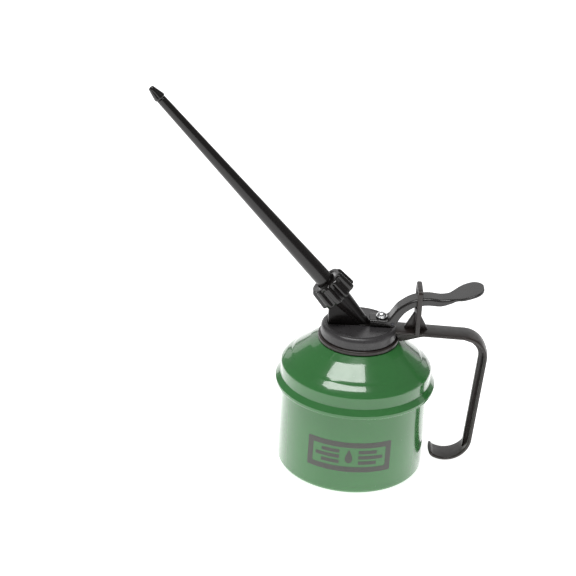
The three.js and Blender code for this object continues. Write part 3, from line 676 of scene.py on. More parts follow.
def build_print(settings):
    """A plain frame, an oil drop and three bars on either side of it."""
    ink = finish("print_ink")
    half = settings.width / MM / 2
    rise = settings.height / MM / 2
    bm = flat_face([(-half, -rise), (half, -rise), (half, rise), (-half, rise)])
    bmesh.ops.inset_region(bm, faces=bm.faces[:], thickness=settings.border,
                           use_boundary=True, use_even_offset=True)
    window = [face for face in bm.faces if not any(edge.is_boundary for edge in face.edges)]
    bmesh.ops.delete(bm, geom=window, context="FACES_ONLY")
    bmesh.ops.bevel(bm, geom=bm.verts[:], offset=0.7 * MM, offset_type="OFFSET",
                    affect="VERTICES", segments=3, profile=0.5, material=-1)
    place = (settings.centre_height, settings.turn)
    piece("print_frame", wrapped(bm, *place), ink, "can")

    drop = []
    for i in range(36):
        angle = 2 * pi * i / 36
        drop.append((3.0 * sin(angle) * sin(angle / 2) ** 1.4, 0.7 + 4.6 * cos(angle)))
    piece("print_drop", wrapped(flat_face(drop[::-1]), *place), ink, "can")

    inner_end, bar_pitch, bar_half = 5.6, 3.5, 1.1
    outer_end = half - settings.border / MM - 1.8
    for side, sign in (("left", -1), ("right", 1)):
        for i, share in enumerate((0.74, 1.0, 0.74)):
            height = (1 - i) * bar_pitch
            left, right = sorted((sign * inner_end,
                                  sign * (inner_end + (outer_end - inner_end) * share)))
            bar = [(left, height - bar_half), (right, height - bar_half),
                   (right, height + bar_half), (left, height + bar_half)]
            piece(f"print_bar_{side}_{i + 1}", wrapped(flat_face(bar), *place), ink, "can")


def build_neck():
    """Neck ferrule with a rolled thread."""
    bottom = foot("neck_ferrule")
    top = head("neck_ferrule")
    bore = NECK_RADIUS - 1.2
    flange = reach("neck_ferrule")
    root = NECK_RADIUS - 0.55
    thread = []
    for i in range(3):
        rib = NECK_SEAT + 1.9 + i * 2.0
        thread += [(root, rib - 0.75), (NECK_RADIUS - 0.12, rib - 0.3), (NECK_RADIUS, rib),
                   (NECK_RADIUS - 0.12, rib + 0.3), (root, rib + 0.75)]
    profile = [
        (bore, bottom),
        *softened([(flange - 1, bottom), (flange, bottom, 0.3), (flange, bottom + 1, 0.3),
                   (NECK_RADIUS, bottom + 1)]),
        (NECK_RADIUS, NECK_SEAT + 0.6),
        *thread,
        *softened([(root, top - 0.6), (root, top, 0.3), (bore, top, 0.3), (bore, top - 0.6)]),
    ]
    piece("neck_thread", spun(profile, closed=True), finish("bright_steel"), "can",
          ("neck_ferrule",))


# ------------------------------------------------------------------ pump head

CAP_RADIUS = NECK_RADIUS + SKIRT_PLAY + 2.0
CAP_BOTTOM = RING_BOTTOM + RING_HEIGHT + GAP
CAP_EDGE = 3.2
CAP_UNDERSIDE = CAP_TOP - 1.6
CAP_FLAT = CAP_TOP - 0.35  # the top inside its raised rim
PLUG_BOTTOM = CAP_TOP - 14.2
PORT = 1.3  # radius of the oil passages inside the head
BORE = 1.6  # radius of the outlet's bore
SPIGOT = 7.5  # radius of the spigot under the nut
BOSS_LENGTH = 22.9
BOSS_FOOT = 3.5
BOSS_TAPER = 0.104
SPIGOT_TOP = BOSS_LENGTH + 8.3
WEB_FRONT = 18.4


def boss_radius(along):
    """Radius of the boss at a distance along the outlet's axis."""
    return BOSS_FOOT + BOSS_TAPER * along


def build_cap():
    """Screw cap with the core that carries the pump."""
    skirt = NECK_RADIUS + SKIRT_PLAY
    barrel_top = head("pump_barrel")
    gland_floor = foot("gland_packing") - GAP
    profile = [
        (0, PLUG_BOTTOM),
        *softened([(16, PLUG_BOTTOM), (17.6, PLUG_BOTTOM, 0.5), (17.6, CAP_UNDERSIDE),
                   (skirt, CAP_UNDERSIDE), (skirt, CAP_BOTTOM, 0.25),
                   (CAP_RADIUS, CAP_BOTTOM, 0.35), (CAP_RADIUS, CAP_TOP - 6)]),
        *arc(CAP_RADIUS - CAP_EDGE, CAP_TOP - CAP_EDGE, CAP_EDGE - 0.1, 0, 76, 12),
        *softened([(CAP_RADIUS - CAP_EDGE + 0.55, CAP_TOP - 0.30),
                   (CAP_RADIUS - CAP_EDGE + 0.3, CAP_TOP, 0.15),
                   (CAP_RADIUS - CAP_EDGE - 0.2, CAP_TOP, 0.15),
                   (CAP_RADIUS - CAP_EDGE - 0.5, CAP_FLAT, 0.15),
                   (CAP_RADIUS - CAP_EDGE - 1.2, CAP_FLAT)], steps=3),
        (6, CAP_FLAT),
        (0, CAP_FLAT),
    ]
    riser_x = OUTLET.x - 3.5 * OUTLET_AXIS.x
    riser_top = CAP_TOP - 3.5 * OUTLET_AXIS.z + 0.6
    port = barrel_top - 2.4
    side_hole = placed(peg(PORT, riser_x - PORT, PUMP_X), Matrix.Rotation(pi / 2, 4, "Y"))
    cutters = [
        peg(5.3, PLUG_BOTTOM - 1, barrel_top + GAP, PUMP_X),
        peg(1.9, barrel_top - 1, gland_floor + 1, PUMP_X),
        peg(3.2, gland_floor, CAP_TOP + 2, PUMP_X),
        peg(PORT, port, riser_top, riser_x),
        placed(side_hole, Matrix.Translation((0, 0, port * MM))),
        placed(peg(BORE, -3.5, 10), outlet_matrix()),
    ]
    piece("head_cap", carved(spun(profile), cutters), finish("cap_moulding_painted_sheen"), "head",
          ("pump_head",))


def build_outlet():
    """Leaning outlet boss, its web, and the lever's lug."""
    # A darker copy of the head's moulding: painted shade on the boss, web and lug.
    black = finish("boss_moulding_painted_shade")
    chamber = 2.6
    seat = SPIGOT_TOP - 5
    profile = [
        (BORE, -6),
        (boss_radius(-6) - 1, -6),
        (boss_radius(0), 0),
        *softened([(boss_radius(4), 4), (boss_radius(BOSS_LENGTH - 0.2), BOSS_LENGTH, 0.9),
                   (SPIGOT, BOSS_LENGTH, 0.3), (SPIGOT, BOSS_LENGTH + 2)]),
        *softened([(SPIGOT, SPIGOT_TOP - 2), (SPIGOT, SPIGOT_TOP, 0.4),
                   (chamber, SPIGOT_TOP, 0.3),
                   (chamber, SPIGOT_TOP - 1)]),
        (chamber, seat),
        (BORE, seat),
    ]
    piece("outlet_boss", placed(spun(profile, closed=True), outlet_matrix()), black, "head")

    lean, rise = -OUTLET_AXIS.x, OUTLET_AXIS.z
    crown = Vector((OUTLET.x - BOSS_LENGTH * lean, CAP_TOP + BOSS_LENGTH * rise))
    front_top = crown.y - (WEB_FRONT + crown.x) * lean / rise
    web = [(-WEB_FRONT, CAP_TOP - 1), (OUTLET.x, CAP_TOP - 1), tuple(crown),
           (-WEB_FRONT, front_top)]
    piece("boss_web", slab(web, 7, 0.9), black, "head")

    # A rounded bead of material follows the boss's foot.
    rings = []
    for i in range(64):
        angle = 2 * pi * i / 64
        ring = []
        for out, up in arc(0.8, 0.8, 0.8, 180, 270, 4) + [(-0.6, -0.3)]:
            along = up / rise
            radius = boss_radius(along) + out
            centre = OUTLET.x - along * lean
            ring.append((centre + radius / rise * cos(angle), radius * sin(angle), CAP_TOP + up))
        rings.append(ring)
    piece("boss_foot", lofted(rings, closed=True), black, "head", crease=60)

    # The parting line of the mould runs down the boss's front.
    rings = []
    front = Vector((0.2, -0.98, 0.19)).normalized()
    aside = Vector((0.72, 0.28, 0.64))
    for along in (0.6, 6, 12, 18, BOSS_LENGTH - 1.4):
        centre = Vector((OUTLET.x - along * lean, 0, CAP_TOP + along * rise))
        centre += (boss_radius(along) - 0.05) * front
        rings.append(hoop(centre, 0.32, front, aside, 10))
    piece("boss_seam", lofted(rings), black, "head", crease=60)

    eye = 1.6
    lug = [(PIVOT.x + eye, CAP_TOP - 1), *arc(PIVOT.x, PIVOT.z, eye, 0, 180, 16),
           (PIVOT.x - eye, CAP_TOP - 1)]
    piece("lever_lug", carved(slab(lug, 6, 0.3), [pin_hole()]), black, "head")


# ------------------------------------------------------------------ handle

STRAP_WIDTH = 14
STRAP_THICK = 2.4
STRAP_EDGE = 0.7
STRAP_FALL = 2.3
LEG_LEAN = 4.3
BEND = 15
HEEL = 16
TOE = 6
HEEL_SWEEP = 115
TOE_SWEEP = 148
ROOT_X = CAP_RADIUS + 0.4
STRAP_TOP = CAP_TOP - 1.4
LOOP_X = 33.5
LOOP_SILL = 8.6
LOOP_TOP = 25.4


def strap_top(x):
    """Height of the strap's upper face where it runs out from the cap."""
    return STRAP_TOP - (x - ROOT_X) * tan(radians(STRAP_FALL))


def handle_centres():
    """Centres of the bend, the heel and the toe of the handle's line."""
    lean_sin, lean_cos = sin(radians(LEG_LEAN)), cos(radians(LEG_LEAN))
    bend_x = HANDLE_OUT - BEND
    bend = Vector((bend_x, strap_top(bend_x) - BEND / cos(radians(STRAP_FALL))))
    heel_z = HOOK_BOTTOM + HEEL
    leg = (bend.y - BEND * lean_sin + HEEL * lean_sin - heel_z) / lean_cos
    heel = Vector((bend.x + (BEND - HEEL) * lean_cos - leg * lean_sin, heel_z))
    toe = heel + (HEEL - TOE) * Vector((cos(radians(HEEL_SWEEP)), -sin(radians(HEEL_SWEEP))))
    return bend, heel, toe


def handle_stations():
    """Points and outward headings along the handle's outer face."""
    bend, heel, toe = handle_centres()
    up = radians(90 - STRAP_FALL)
    facing_up = Vector((cos(up), sin(up)))
    stations = []
    start = Vector((ROOT_X - 1.6, strap_top(ROOT_X - 1.6)))
    straight = Vector((bend.x + BEND * cos(up), bend.y + BEND * sin(up)))
    for i in range(10):
        stations.append((start.lerp(straight, i / 10), facing_up))

    def turn(centre, radius, first, last, steps):
        for i in range(steps + 1):
            angle = radians(first + (last - first) * i / steps)
            out = Vector((cos(angle), sin(angle)))
            stations.append((centre + radius * out, out))

    turn(bend, BEND, 90 - STRAP_FALL, -LEG_LEAN, 20)
    leg_top, out = stations[-1]
    leg_foot = heel + HEEL * out
    for i in range(1, 12):
        stations.append((leg_top.lerp(leg_foot, i / 12), out))
    turn(heel, HEEL, -LEG_LEAN, -HEEL_SWEEP, 22)
    turn(toe, TOE, -HEEL_SWEEP - 4, -TOE_SWEEP, 6)
    return stations


def strap_section(half, thick, crown, edge):
    """Crowned outside, flat inside, rounded edges, as (across, outward) pairs."""
    points = []
    for i in range(13):
        across = -half + edge + (2 * half - 2 * edge) * i / 12
        points.append((across, -crown * (across / half) ** 2))
    shoulder = points[-1][1] - edge
    right = arc(half - edge, shoulder, edge, 60, 0, 3)
    right += arc(half - edge, -thick + edge, edge, 0, -90, 4)
    left = [(-across, out) for across, out in reversed(right)]
    return points + right + left


def build_strap(settings):
    """The strap of the handle from its root over the bend and down to the hook's tip."""
    crown = settings.crown / MM
    section = strap_section(STRAP_WIDTH / 2, STRAP_THICK, crown, STRAP_EDGE)
    rings = []
    for point, out in handle_stations():
        rings.append([(point.x + out.x * o, a, point.y + out.y * o) for a, o in section])
    # The tip is rounded off over its last rings.
    tip = STRAP_THICK / 2
    ahead = Vector((out.y, -out.x))
    for turn_angle in (25, 50, 70, 85):
        share = cos(radians(turn_angle))
        shift = ahead * (tip * sin(radians(turn_angle)))
        half = STRAP_WIDTH / 2 - tip * (1 - share)
        thick = max(0.12, STRAP_THICK * share)
        sink = (STRAP_THICK - thick) / 2
        section = strap_section(half, thick, crown, min(STRAP_EDGE, thick * 0.4))
        rings.append([(point.x + shift.x + out.x * (o - sink), a,
                       point.y + shift.y + out.y * (o - sink)) for a, o in section])
    piece("handle_strap", lofted(rings), finish("handle_moulding"), "head",
          ("handle",))


def build_rib():
    """Stiffening rib inside the handle, deep at the root, the bend and the leg."""
    bend, heel, _ = handle_centres()
    overlap = STRAP_THICK / 2
    shallow = STRAP_THICK + 2
    deep = BEND - STRAP_THICK - 2.8
    under = [(-2.2, 0.2), (1, 0.1), (4.7, 0), (8, 0.9), (12, 2.1), (15, 2.8)]
    low = [(ROOT_X + x, RING_BOTTOM + z) for x, z in under]
    low.append((ROOT_X + 20, strap_top(ROOT_X + 20) - shallow))
    low = [tuple(point) for point in smooth_line(low, 3)]
    outline = [
        *low,
        (bend.x - 2, strap_top(bend.x - 2) - shallow),
        *arc(bend.x, bend.y, deep, 60, -LEG_LEAN, 14),
        *arc(heel.x, heel.y, HEEL - overlap, -46, -LEG_LEAN, 8),
        *arc(bend.x, bend.y, BEND - overlap, -LEG_LEAN, 90 - STRAP_FALL, 16),
        (ROOT_X - 2.2, strap_top(ROOT_X - 2.2) - overlap),
    ]
    piece("handle_rib", slab(outline, 3.8, 0.7), finish("handle_moulding"), "head")


def build_ring():
    """Ring clamped under the cap, with the block that carries the strap."""
    black = finish("handle_moulding")
    inner = NECK_RADIUS + SKIRT_PLAY
    top = RING_BOTTOM + RING_HEIGHT
    profile = softened([
        (inner + 1, RING_BOTTOM), (RING_RADIUS, RING_BOTTOM, 0.6), (RING_RADIUS, top, 0.9),
        (inner, top, 0.3), (inner, RING_BOTTOM, 0.3), (inner + 0.99, RING_BOTTOM)])
    piece("handle_ring", spun(profile, closed=True), black, "head")
    block = [
        (inner + 1, RING_BOTTOM + 0.1),
        (ROOT_X + 3, RING_BOTTOM + 0.1),
        (ROOT_X + 7, STRAP_TOP - STRAP_THICK),
        (ROOT_X + 7, STRAP_TOP - STRAP_THICK / 2),
        (inner + 1, STRAP_TOP - STRAP_THICK / 2),
    ]
    floor = RING_BOTTOM + 2.5
    space = spun([(0, floor), (ROOT_X, floor), (ROOT_X, CAP_TOP + 3), (0, CAP_TOP + 3)])
    piece("handle_root", carved(slab(block, 6, 0.5), [space]), black, "head")


def frame_line(half, low, high, corner):
    """Upright sides and a level top with rounded corners, from the right foot round."""
    return [(half, low), *arc(half - corner, high - corner, corner, 0, 90, 8),
            *arc(corner - half, high - corner, corner, 90, 180, 8), (-half, low)]


def build_loop():
    """Guide loop that the lever passes through, with its two fins."""
    black = finish("handle_moulding")
    half, wall, lintel, thick = 8.0, 1.8, 2.5, 3.0
    low = strap_top(LOOP_X) - STRAP_THICK / 2
    sill = CAP_TOP + LOOP_SILL
    top = CAP_TOP + LOOP_TOP
    outer = frame_line(half, low, top, 2.6)
    inner = frame_line(half - wall, sill, top - lintel, 1.4)
    edge = 0.45
    middle = (sill + top) / 2

    def ring(line, shrink, x):
        points = []
        for y, z in line:
            points.append((x, y - shrink * (1 if y > 0 else -1),
                           z - shrink * (1 if z > middle else -1)))
        return points

    front, back = LOOP_X - thick / 2, LOOP_X + thick / 2
    rings = [
        ring(outer, edge, front), ring(outer, 0, front + edge), ring(outer, 0, back - edge),
        ring(outer, edge, back), ring(inner, -edge, back), ring(inner, 0, back - edge),
        ring(inner, 0, front + edge), ring(inner, -edge, front),
    ]
    piece("guide_loop", lofted(rings, closed=True), black, "head", crease=50)
    fin_top = sill - 0.6
    fins = {
        "front": [(front - 6.3, low + 0.6), (front + 1.5, low + 0.6), (front + 1.5, fin_top),
                  (front - 0.8, fin_top)],
        "rear": [(back - 1.5, low + 0.6), (back + 5.3, low + 0.4), (back + 0.2, fin_top - 1.2),
                 (back - 1.5, fin_top - 1.2)],
    }
    for side, outline in fins.items():
        piece(f"loop_fin_{side}", slab(outline, 2.8, 0.5), black, "head")


# ------------------------------------------------------------------ lever

LEVER_STATIONS = [  # upper x and z, lower x and z, half width; heights from the cap's top
    (6.0, 4.1, 6.0, 0.5, 5.2),
    (11.0, 4.1, 11.0, 0.5, 5.2),
    (14.6, 4.1, 16.2, 0.5, 5.2),
    (16.6, 4.9, 19.4, 0.5, 5.2),
    (18.1, 6.9, 21.0, 2.2, 5.2),
    (20.3, 10.4, 23.6, 6.9, 5.2),
    (23.0, 13.4, 26.1, 10.1, 5.2),
    (28.5, 17.2, 30.4, 13.3, 5.2),
    (34.0, 19.0, 34.8, 14.7, 5.2),
    (39.6, 19.6, 39.6, 15.2, 5.2),
    (46.0, 19.0, 46.0, 15.0, 5.2),
    (51.0, 19.7, 51.4, 17.0, 5.5),
    (54.5, 21.1, 55.0, 19.7, 7.0),
    (57.6, 22.4, 58.1, 21.0, 8.9),
    (61.0, 23.8, 61.4, 22.4, 9.7),
    (64.5, 25.0, 64.8, 23.6, 9.5),
    (67.4, 25.8, 67.7, 24.4, 8.0),
    (69.4, 26.25, 69.6, 24.85, 5.6),
    (70.4, 26.4, 70.5, 25.2, 3.1),
]
CHEEK = 1.4


def channel_section(half, depth, plate, cheek, corner):
    """An inverted channel with rounded upper corners, as (across, down) pairs."""
    top = [(-half + corner + (2 * half - 2 * corner) * i / 8, 0) for i in range(9)]
    right = arc(half - corner, -corner, corner, 80, 0, 5)
    edge = min(0.3, cheek / 3, (depth - plate) / 2 + 0.05)
    right += [(half, -depth + edge), (half - edge, -depth), (half - cheek + edge, -depth),
              (half - cheek, -depth + edge), (half - cheek - 0.3, -plate)]
    left = [(-across, down) for across, down in reversed(right)]
    return top + right + left


def build_lever():
    """Pressed thumb lever: a channel that flattens into a broad rounded pad."""
    stations = smooth_line(LEVER_STATIONS, 4)
    rings = []
    for top_x, top_z, low_x, low_z, half in stations:
        top = Vector((top_x, top_z + CAP_TOP))
        down = Vector((low_x, low_z + CAP_TOP)) - top
        depth = down.length
        down.normalize()
        plate = min(1.3, depth - 0.1)
        corner = min(1.3, depth * 0.45, half * 0.5)
        section = channel_section(half, depth, plate, CHEEK, corner)
        rings.append([(top.x - down.x * d, a, top.y - down.y * d) for a, d in section])
    slot = bmesh.new()
    bmesh.ops.create_cube(slot, size=1.0)
    bmesh.ops.scale(slot, vec=(6.0 * MM, 3.8 * MM, 3.0 * MM), verts=slot.verts)
    bmesh.ops.translate(slot, vec=(PUMP_X * MM, 0, (CAP_TOP + 4.1) * MM), verts=slot.verts)
    piece("thumb_lever", carved(lofted(rings), [slot, pin_hole()]), finish("lever_enamel"), "lever",
          ("lever",), crease=40)


def build_dome_nut():
    """Chromed dome nut on top of the plunger, with its washer collar."""
    low = foot("plunger_cap")
    high = head("plunger_cap")
    radius = reach("plunger_cap") - PUMP_X
    collar = 0.75
    width = radius - 0.55
    height = high - low - collar
    profile = [
        (0, low + 1.7), (1.8, low + 1.7), (1.8, low),
        *softened([(2.4, low), (radius, low, 0.2), (radius, low + collar, 0.2),
                   (width, low + collar)]),
        *[(width * x, low + collar + height * z) for x, z in arc(0, 0, 1, 4, 90, 20)],
    ]
    bm = placed(spun(profile, steps=64), Matrix.Translation((PUMP_X * MM, 0, 0)))
    piece("dome_nut", bm, finish("bright_chrome"), "plunger", ("plunger_cap",))


# ------------------------------------------------------------------ spout

WASHER_TOP = SPIGOT_TOP + GAP + 0.9
FLANGE_BOTTOM = WASHER_TOP + GAP
FLANGE_TOP = FLANGE_BOTTOM + 1.3
SPOUT_TOP = FLANGE_TOP + 146.2
SPOUT_ROOT = 5.2
SPOUT_END = 2.7
NUT_TOP = FLANGE_TOP + GAP + 1.0
NUT_LENGTH = 12.3
NUT_RADIUS = 11.7


def build_spout():
    """Tapered tube with a flange under the nut."""
    wall = 0.9
    rise = SPOUT_TOP - FLANGE_TOP
    tube = []
    for i in range(13):
        share = i / 12
        tube.append((SPOUT_ROOT + (SPOUT_END - SPOUT_ROOT) * share,
                     FLANGE_TOP + 0.4 + (rise - 0.6) * share))
    profile = [
        (SPOUT_ROOT - wall, FLANGE_BOTTOM),
        *softened([(6, FLANGE_BOTTOM), (7, FLANGE_BOTTOM, 0.3), (7, FLANGE_TOP, 0.3),
                   (SPOUT_ROOT + 0.4, FLANGE_TOP)]),
        *tube,
        (SPOUT_END - 0.15, SPOUT_TOP),
        (SPOUT_END - wall, SPOUT_TOP),
    ]
    bm = placed(spun(profile, closed=True, steps=96), outlet_matrix())
    piece("spout_tube", bm, finish("spout_moulding"), "head", ("spout",))


def build_nut(settings):
    """Grip nut with broad rounded ribs and a rounded upper edge."""
    bottom = NUT_TOP - NUT_LENGTH
    count = settings.nut_ribs * 16
    edge = 2.0
    hole = SPOUT_ROOT + 0.35
    thread = 7.8

    def ring(radius, height, groove):
        def ribbed(angle):
            crest = max(0.0, 0.5 + 0.95 * cos(angle * settings.nut_ribs))
            return radius - groove * (1 - min(1.0, crest) ** 0.6)
        return level_ring(count, height, ribbed)

    rings = [
        ring(thread, bottom + 0.3, 0), ring(thread + 0.3, bottom, 0),
        ring(NUT_RADIUS - 0.8, bottom, 1.2), ring(NUT_RADIUS - 0.25, bottom + 0.25, 1.7),
        ring(NUT_RADIUS, bottom + 0.8, 1.9),
    ]
    for i in range(1, 5):
        share = i / 4
        rings.append(ring(NUT_RADIUS - 0.8 * share,
                          bottom + 0.8 + (NUT_LENGTH - edge - 0.8) * share, 1.9))
    for radius, height in arc(NUT_RADIUS - 0.8 - edge, NUT_TOP - edge, edge, 10, 90, 9):
        share = (height - NUT_TOP + edge) / edge
        rings.append(ring(radius, height, 1.9 * max(0.0, 1 - share) ** 0.5))
    rings += [
        ring(hole + 0.3, NUT_TOP, 0), ring(hole, NUT_TOP - 0.3, 0),
        ring(hole, NUT_TOP - 1.0, 0), ring(thread, NUT_TOP - 1.0, 0),
    ]
    bm = placed(lofted(rings, closed=True), outlet_matrix())
    piece("spout_nut", bm, finish("spout_moulding"), "nut", ("collar_nut",),
          crease=50)


def build_nozzle(settings):
    """Barbed tip: a fluted cone wider than the tube at its foot."""
    start = SPOUT_TOP + GAP
    shoulder, mouth, length, shank, bore = 3.3, 1.4, 8.3, 1.5, 0.8
    flutes = settings.nozzle_flutes

    def ring(radius, height, depth):
        def fluted(angle):
            wave = max(0.0, cos(angle * flutes)) ** 2 if flutes else 0
            return radius * (1 - depth * wave)
        return level_ring(96, height, fluted)

    rings = [ring(bore, start - 6, 0), ring(shank, start - 6, 0), ring(shank, start, 0),
             ring(shoulder - 0.7, start, 0), ring(shoulder - 0.2, start + 0.3, 0),
             ring(shoulder, start + 0.9, 0.02)]
    for i in range(1, 9):
        share = i / 8
        radius = shoulder + (mouth + 0.25 - shoulder) * share
        rings.append(ring(radius, start + 0.9 + (length - 1.3) * share,
                          0.16 * sin(pi * min(1, share * 1.15)) ** 0.5))
    rings += [ring(mouth, start + length - 0.1, 0), ring(mouth - 0.2, start + length, 0),
              ring(bore, start + length - 0.05, 0)]
    bm = placed(lofted(rings, closed=True), outlet_matrix())
    piece("spout_nozzle", bm, finish("spout_moulding"), "head", ("nozzle_tip",),
          crease=50)


DEAD_PITCH = 0.98  # height of a closed coil, as a share of the wire's thickness


def build_spring():
    """Return spring between the piston and the barrel's end; on the real pump it closes as the pump
    works.
    """
    (left, _, low), (right, _, high) = [Vector(corner) / MM for corner in
                                        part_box("return_spring")]
    wire = 0.35
    coil = (right - left) / 2 - wire
    turns, dead, steps = 8, 1.0, 28
    rings = []
    for i in range(turns * steps + 1):
        turn = i / steps
        live = min(max(turn - dead, 0), turns - 2 * dead) / (turns - 2 * dead)
        closing = min(turn, dead) + max(turn - turns + dead, 0)
        height = low + wire + 2 * wire * closing * DEAD_PITCH
        height += live * (high - low - 2 * wire - 4 * wire * dead * DEAD_PITCH)
        angle = 2 * pi * turn
        out = Vector((cos(angle), sin(angle), 0))
        centre = Vector((PUMP_X, 0, height)) + coil * out
        rings.append(hoop(centre, wire, out, Vector((0, 0, 1)), 8))
    spring = piece("pump_spring", lofted(rings), finish("bright_steel"), "head",
                   ("return_spring",), crease=60)
    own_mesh(spring)


# ------------------------------------------------------------------ carried-over pieces

CARRIED = {
    "neck_gasket": "soft_rubber",
    "lever_pin": "dark_steel",
    "plunger_rod": "bright_steel",
    "piston": "turned_brass",
    "piston_cup": "soft_rubber",
    "gland_nut": "dark_steel",
    "gland_packing": "soft_rubber",
    "pump_barrel": "turned_brass",
    "foot_valve": "turned_brass",
    "inlet_ball": "bright_steel",
    "suction_tube": "turned_brass",
    "strainer": "turned_brass",
    "outlet_ball": "bright_steel",
    "spout_washer": "soft_rubber",
}


def dress_frame():
    """Gives the pump's own parts their finishes."""
    for node, name in CARRIED.items():
        materials = frame["nodes"][node].data.materials
        if not materials:
            materials.append(finish(name))
        for i in range(len(materials)):
            materials[i] = finish(name)


# ------------------------------------------------------------------ stage

def soft_box(name, place, size, power, target=None):
    """A rectangular light that hangs level, or faces a target."""
    lamp = bpy.data.lights.new(name, "AREA")
    lamp.shape = "RECTANGLE"
    lamp.size, lamp.size_y = size
    lamp.energy = power
    item = bpy.data.objects.new(name, lamp)
    item.location = place
    if target is not None:
        heading = Vector(target) - Vector(place)
        item.rotation_euler = heading.to_track_quat("-Z", "Y").to_euler()
    bpy.context.scene.collection.objects.link(item)


CAMERA_TARGET = (-0.0426, 0, 0.1110)
FLOOR_HALF = 30  # metres


def build_stage(settings):
    """Floor, surroundings, lights and camera."""
    scene = bpy.context.scene
    bm = bmesh.new()
    bmesh.ops.create_grid(bm, x_segments=8, y_segments=8, size=FLOOR_HALF)
    mesh = bpy.data.meshes.new("floor")
    bm.to_mesh(mesh)
    bm.free()
    floor = bpy.data.objects.new("floor", mesh)
    scene.collection.objects.link(floor)
    material, tree, surface = material_with("floor_paper")
    ramp_into(tree, noise_on(tree, 3, 2), surface.inputs["Base Color"],
              (0, tinted(settings.floor, 0.99)), (1, settings.floor))
    set_inputs(surface, {"Roughness": 0.75, "Specular IOR Level": 0.2,
                         "Emission Color": (1, 1, 1, 1), "Emission Strength": settings.glow})
    mesh.materials.append(material)

    world = bpy.data.worlds.new("studio")
    world.use_nodes = True
    backdrop = world.node_tree.nodes["Background"]
    set_inputs(backdrop, {"Color": (1, 1, 1, 1), "Strength": settings.sky})
    scene.world = world
    scene.view_settings.view_transform = "Standard"

    soft_box("key_box", (-0.235, -0.245, 1.30), (0.935, 0.37), settings.key)
    soft_box("left_box", (-1.8, 0.1, 0.45), (1.4, 0.7), settings.fill, (0, 0, 0.05))
    soft_box("back_panel", (0.1, 2.0, 0.95), (3.2, 1.5), settings.back, (0, 0, 0.3))
    soft_box("right_box", (1.8, 0.2, 0.45), (1.4, 0.7), settings.fill, (0, 0, 0.05))

    camera = bpy.data.cameras.new("camera")
    camera.lens = settings.lens
    camera.sensor_width = 36
    camera.clip_start, camera.clip_end = 0.05, 50
    item = bpy.data.objects.new("camera", camera)
    scene.collection.objects.link(item)
    level = cos(settings.elevation)
    away = Vector((sin(settings.azimuth) * level, -cos(settings.azimuth) * level,
                   sin(settings.elevation)))
    right = (-away).cross(Vector((0, 0, 1))).normalized()
    up = right.cross(-away)
    turn = settings.roll
    x_axis = right * cos(turn) + up * sin(turn)
    y_axis = up * cos(turn) - right * sin(turn)
    matrix = Matrix((x_axis, y_axis, away)).transposed().to_4x4()
    matrix.translation = Vector(CAMERA_TARGET) + away * settings.distance
    item.matrix_world = matrix
    scene.camera = item


# ------------------------------------------------------------------ operators

class OILER_OT_can(Operator):
    """Builds the can's cup, its shoulder and the neck."""
    bl_idname = "oiler.can"
    bl_label = "Can"

    def execute(self, context):
        build_cup(context.scene.oiler_can)
        build_cover()
        build_neck()
        return {"FINISHED"}


class OILER_OT_print(Operator):
    """Prints the frame and the drop on the can's front."""
    bl_idname = "oiler.print"
    bl_label = "Print"

    def execute(self, context):
        build_print(context.scene.oiler_print)
        return {"FINISHED"}


class OILER_OT_head(Operator):
    """Builds the screw cap and its outlet."""
    bl_idname = "oiler.head"
    bl_label = "Pump head"

    def execute(self, context):
        build_cap()
        build_outlet()
        return {"FINISHED"}


class OILER_OT_handle(Operator):
    """Builds the handle with its ring, rib and guide loop."""
    bl_idname = "oiler.handle"
    bl_label = "Handle"

    def execute(self, context):
        build_strap(context.scene.oiler_mouldings)
        build_rib()
        build_ring()
        build_loop()
        return {"FINISHED"}


class OILER_OT_lever(Operator):
    """Builds the thumb lever and the plunger's dome nut."""
    bl_idname = "oiler.lever"
    bl_label = "Lever"

    def execute(self, context):
        build_lever()
        build_dome_nut()
        return {"FINISHED"}


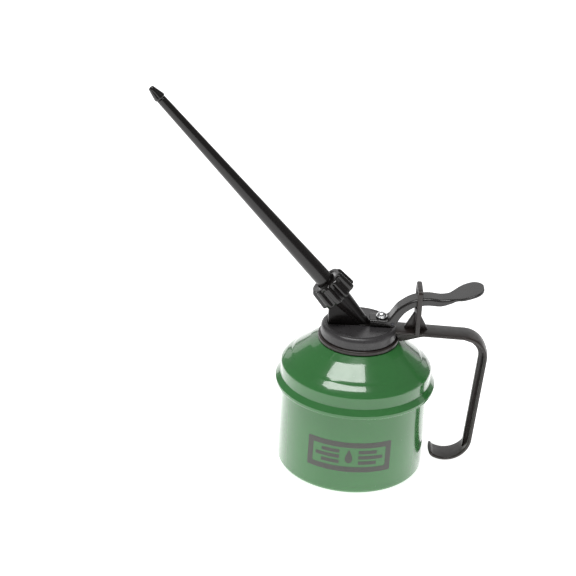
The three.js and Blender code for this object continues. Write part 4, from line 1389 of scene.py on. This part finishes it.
class OILER_OT_spout(Operator):
    """Builds the spout, its nut and its nozzle."""
    bl_idname = "oiler.spout"
    bl_label = "Spout"

    def execute(self, context):
        settings = context.scene.oiler_mouldings
        build_spout()
        build_nut(settings)
        build_nozzle(settings)
        return {"FINISHED"}


class OILER_OT_pump(Operator):
    """Builds the pump's spring and gives its other parts their finishes."""
    bl_idname = "oiler.pump"
    bl_label = "Pump parts"

    def execute(self, context):
        build_spring()
        dress_frame()
        return {"FINISHED"}


class OILER_OT_stage(Operator):
    """Sets up the floor, the light and the camera."""
    bl_idname = "oiler.stage"
    bl_label = "Stage"

    def execute(self, context):
        build_stage(context.scene.oiler_stage)
        return {"FINISHED"}


OPERATORS = (OILER_OT_stage, OILER_OT_can, OILER_OT_print, OILER_OT_head, OILER_OT_handle,
             OILER_OT_lever, OILER_OT_spout, OILER_OT_pump)


class OILER_PT_panel(Panel):
    """Lists the steps that build the oiler can."""
    bl_idname = "OILER_PT_panel"
    bl_label = "Oiler can"
    bl_space_type = "VIEW_3D"
    bl_region_type = "UI"
    bl_category = "Oiler"

    def draw(self, context):
        for operator in OPERATORS:
            self.layout.operator(operator.bl_idname)
        for group in GROUPS:
            settings = getattr(context.scene, group)
            for name in settings.__annotations__:
                self.layout.prop(settings, name)


GROUPS = {
    "oiler_can": OILER_PG_can,
    "oiler_print": OILER_PG_print,
    "oiler_mouldings": OILER_PG_mouldings,
    "oiler_stage": OILER_PG_stage,
}


def register():
    for group, kind in GROUPS.items():
        bpy.utils.register_class(kind)
        setattr(bpy.types.Scene, group, PointerProperty(type=kind))
    for kind in (*OPERATORS, OILER_PT_panel):
        bpy.utils.register_class(kind)


def unregister():
    for kind in (OILER_PT_panel, *reversed(OPERATORS)):
        bpy.utils.unregister_class(kind)
    for group, kind in reversed(GROUPS.items()):
        delattr(bpy.types.Scene, group)
        bpy.utils.unregister_class(kind)


def main():
    register()
    for operator in OPERATORS:
        step = getattr(bpy.ops.oiler, operator.bl_idname.split(".")[1])
        step()
    bpy.context.view_layer.update()


if __name__ == "__main__":
    main()
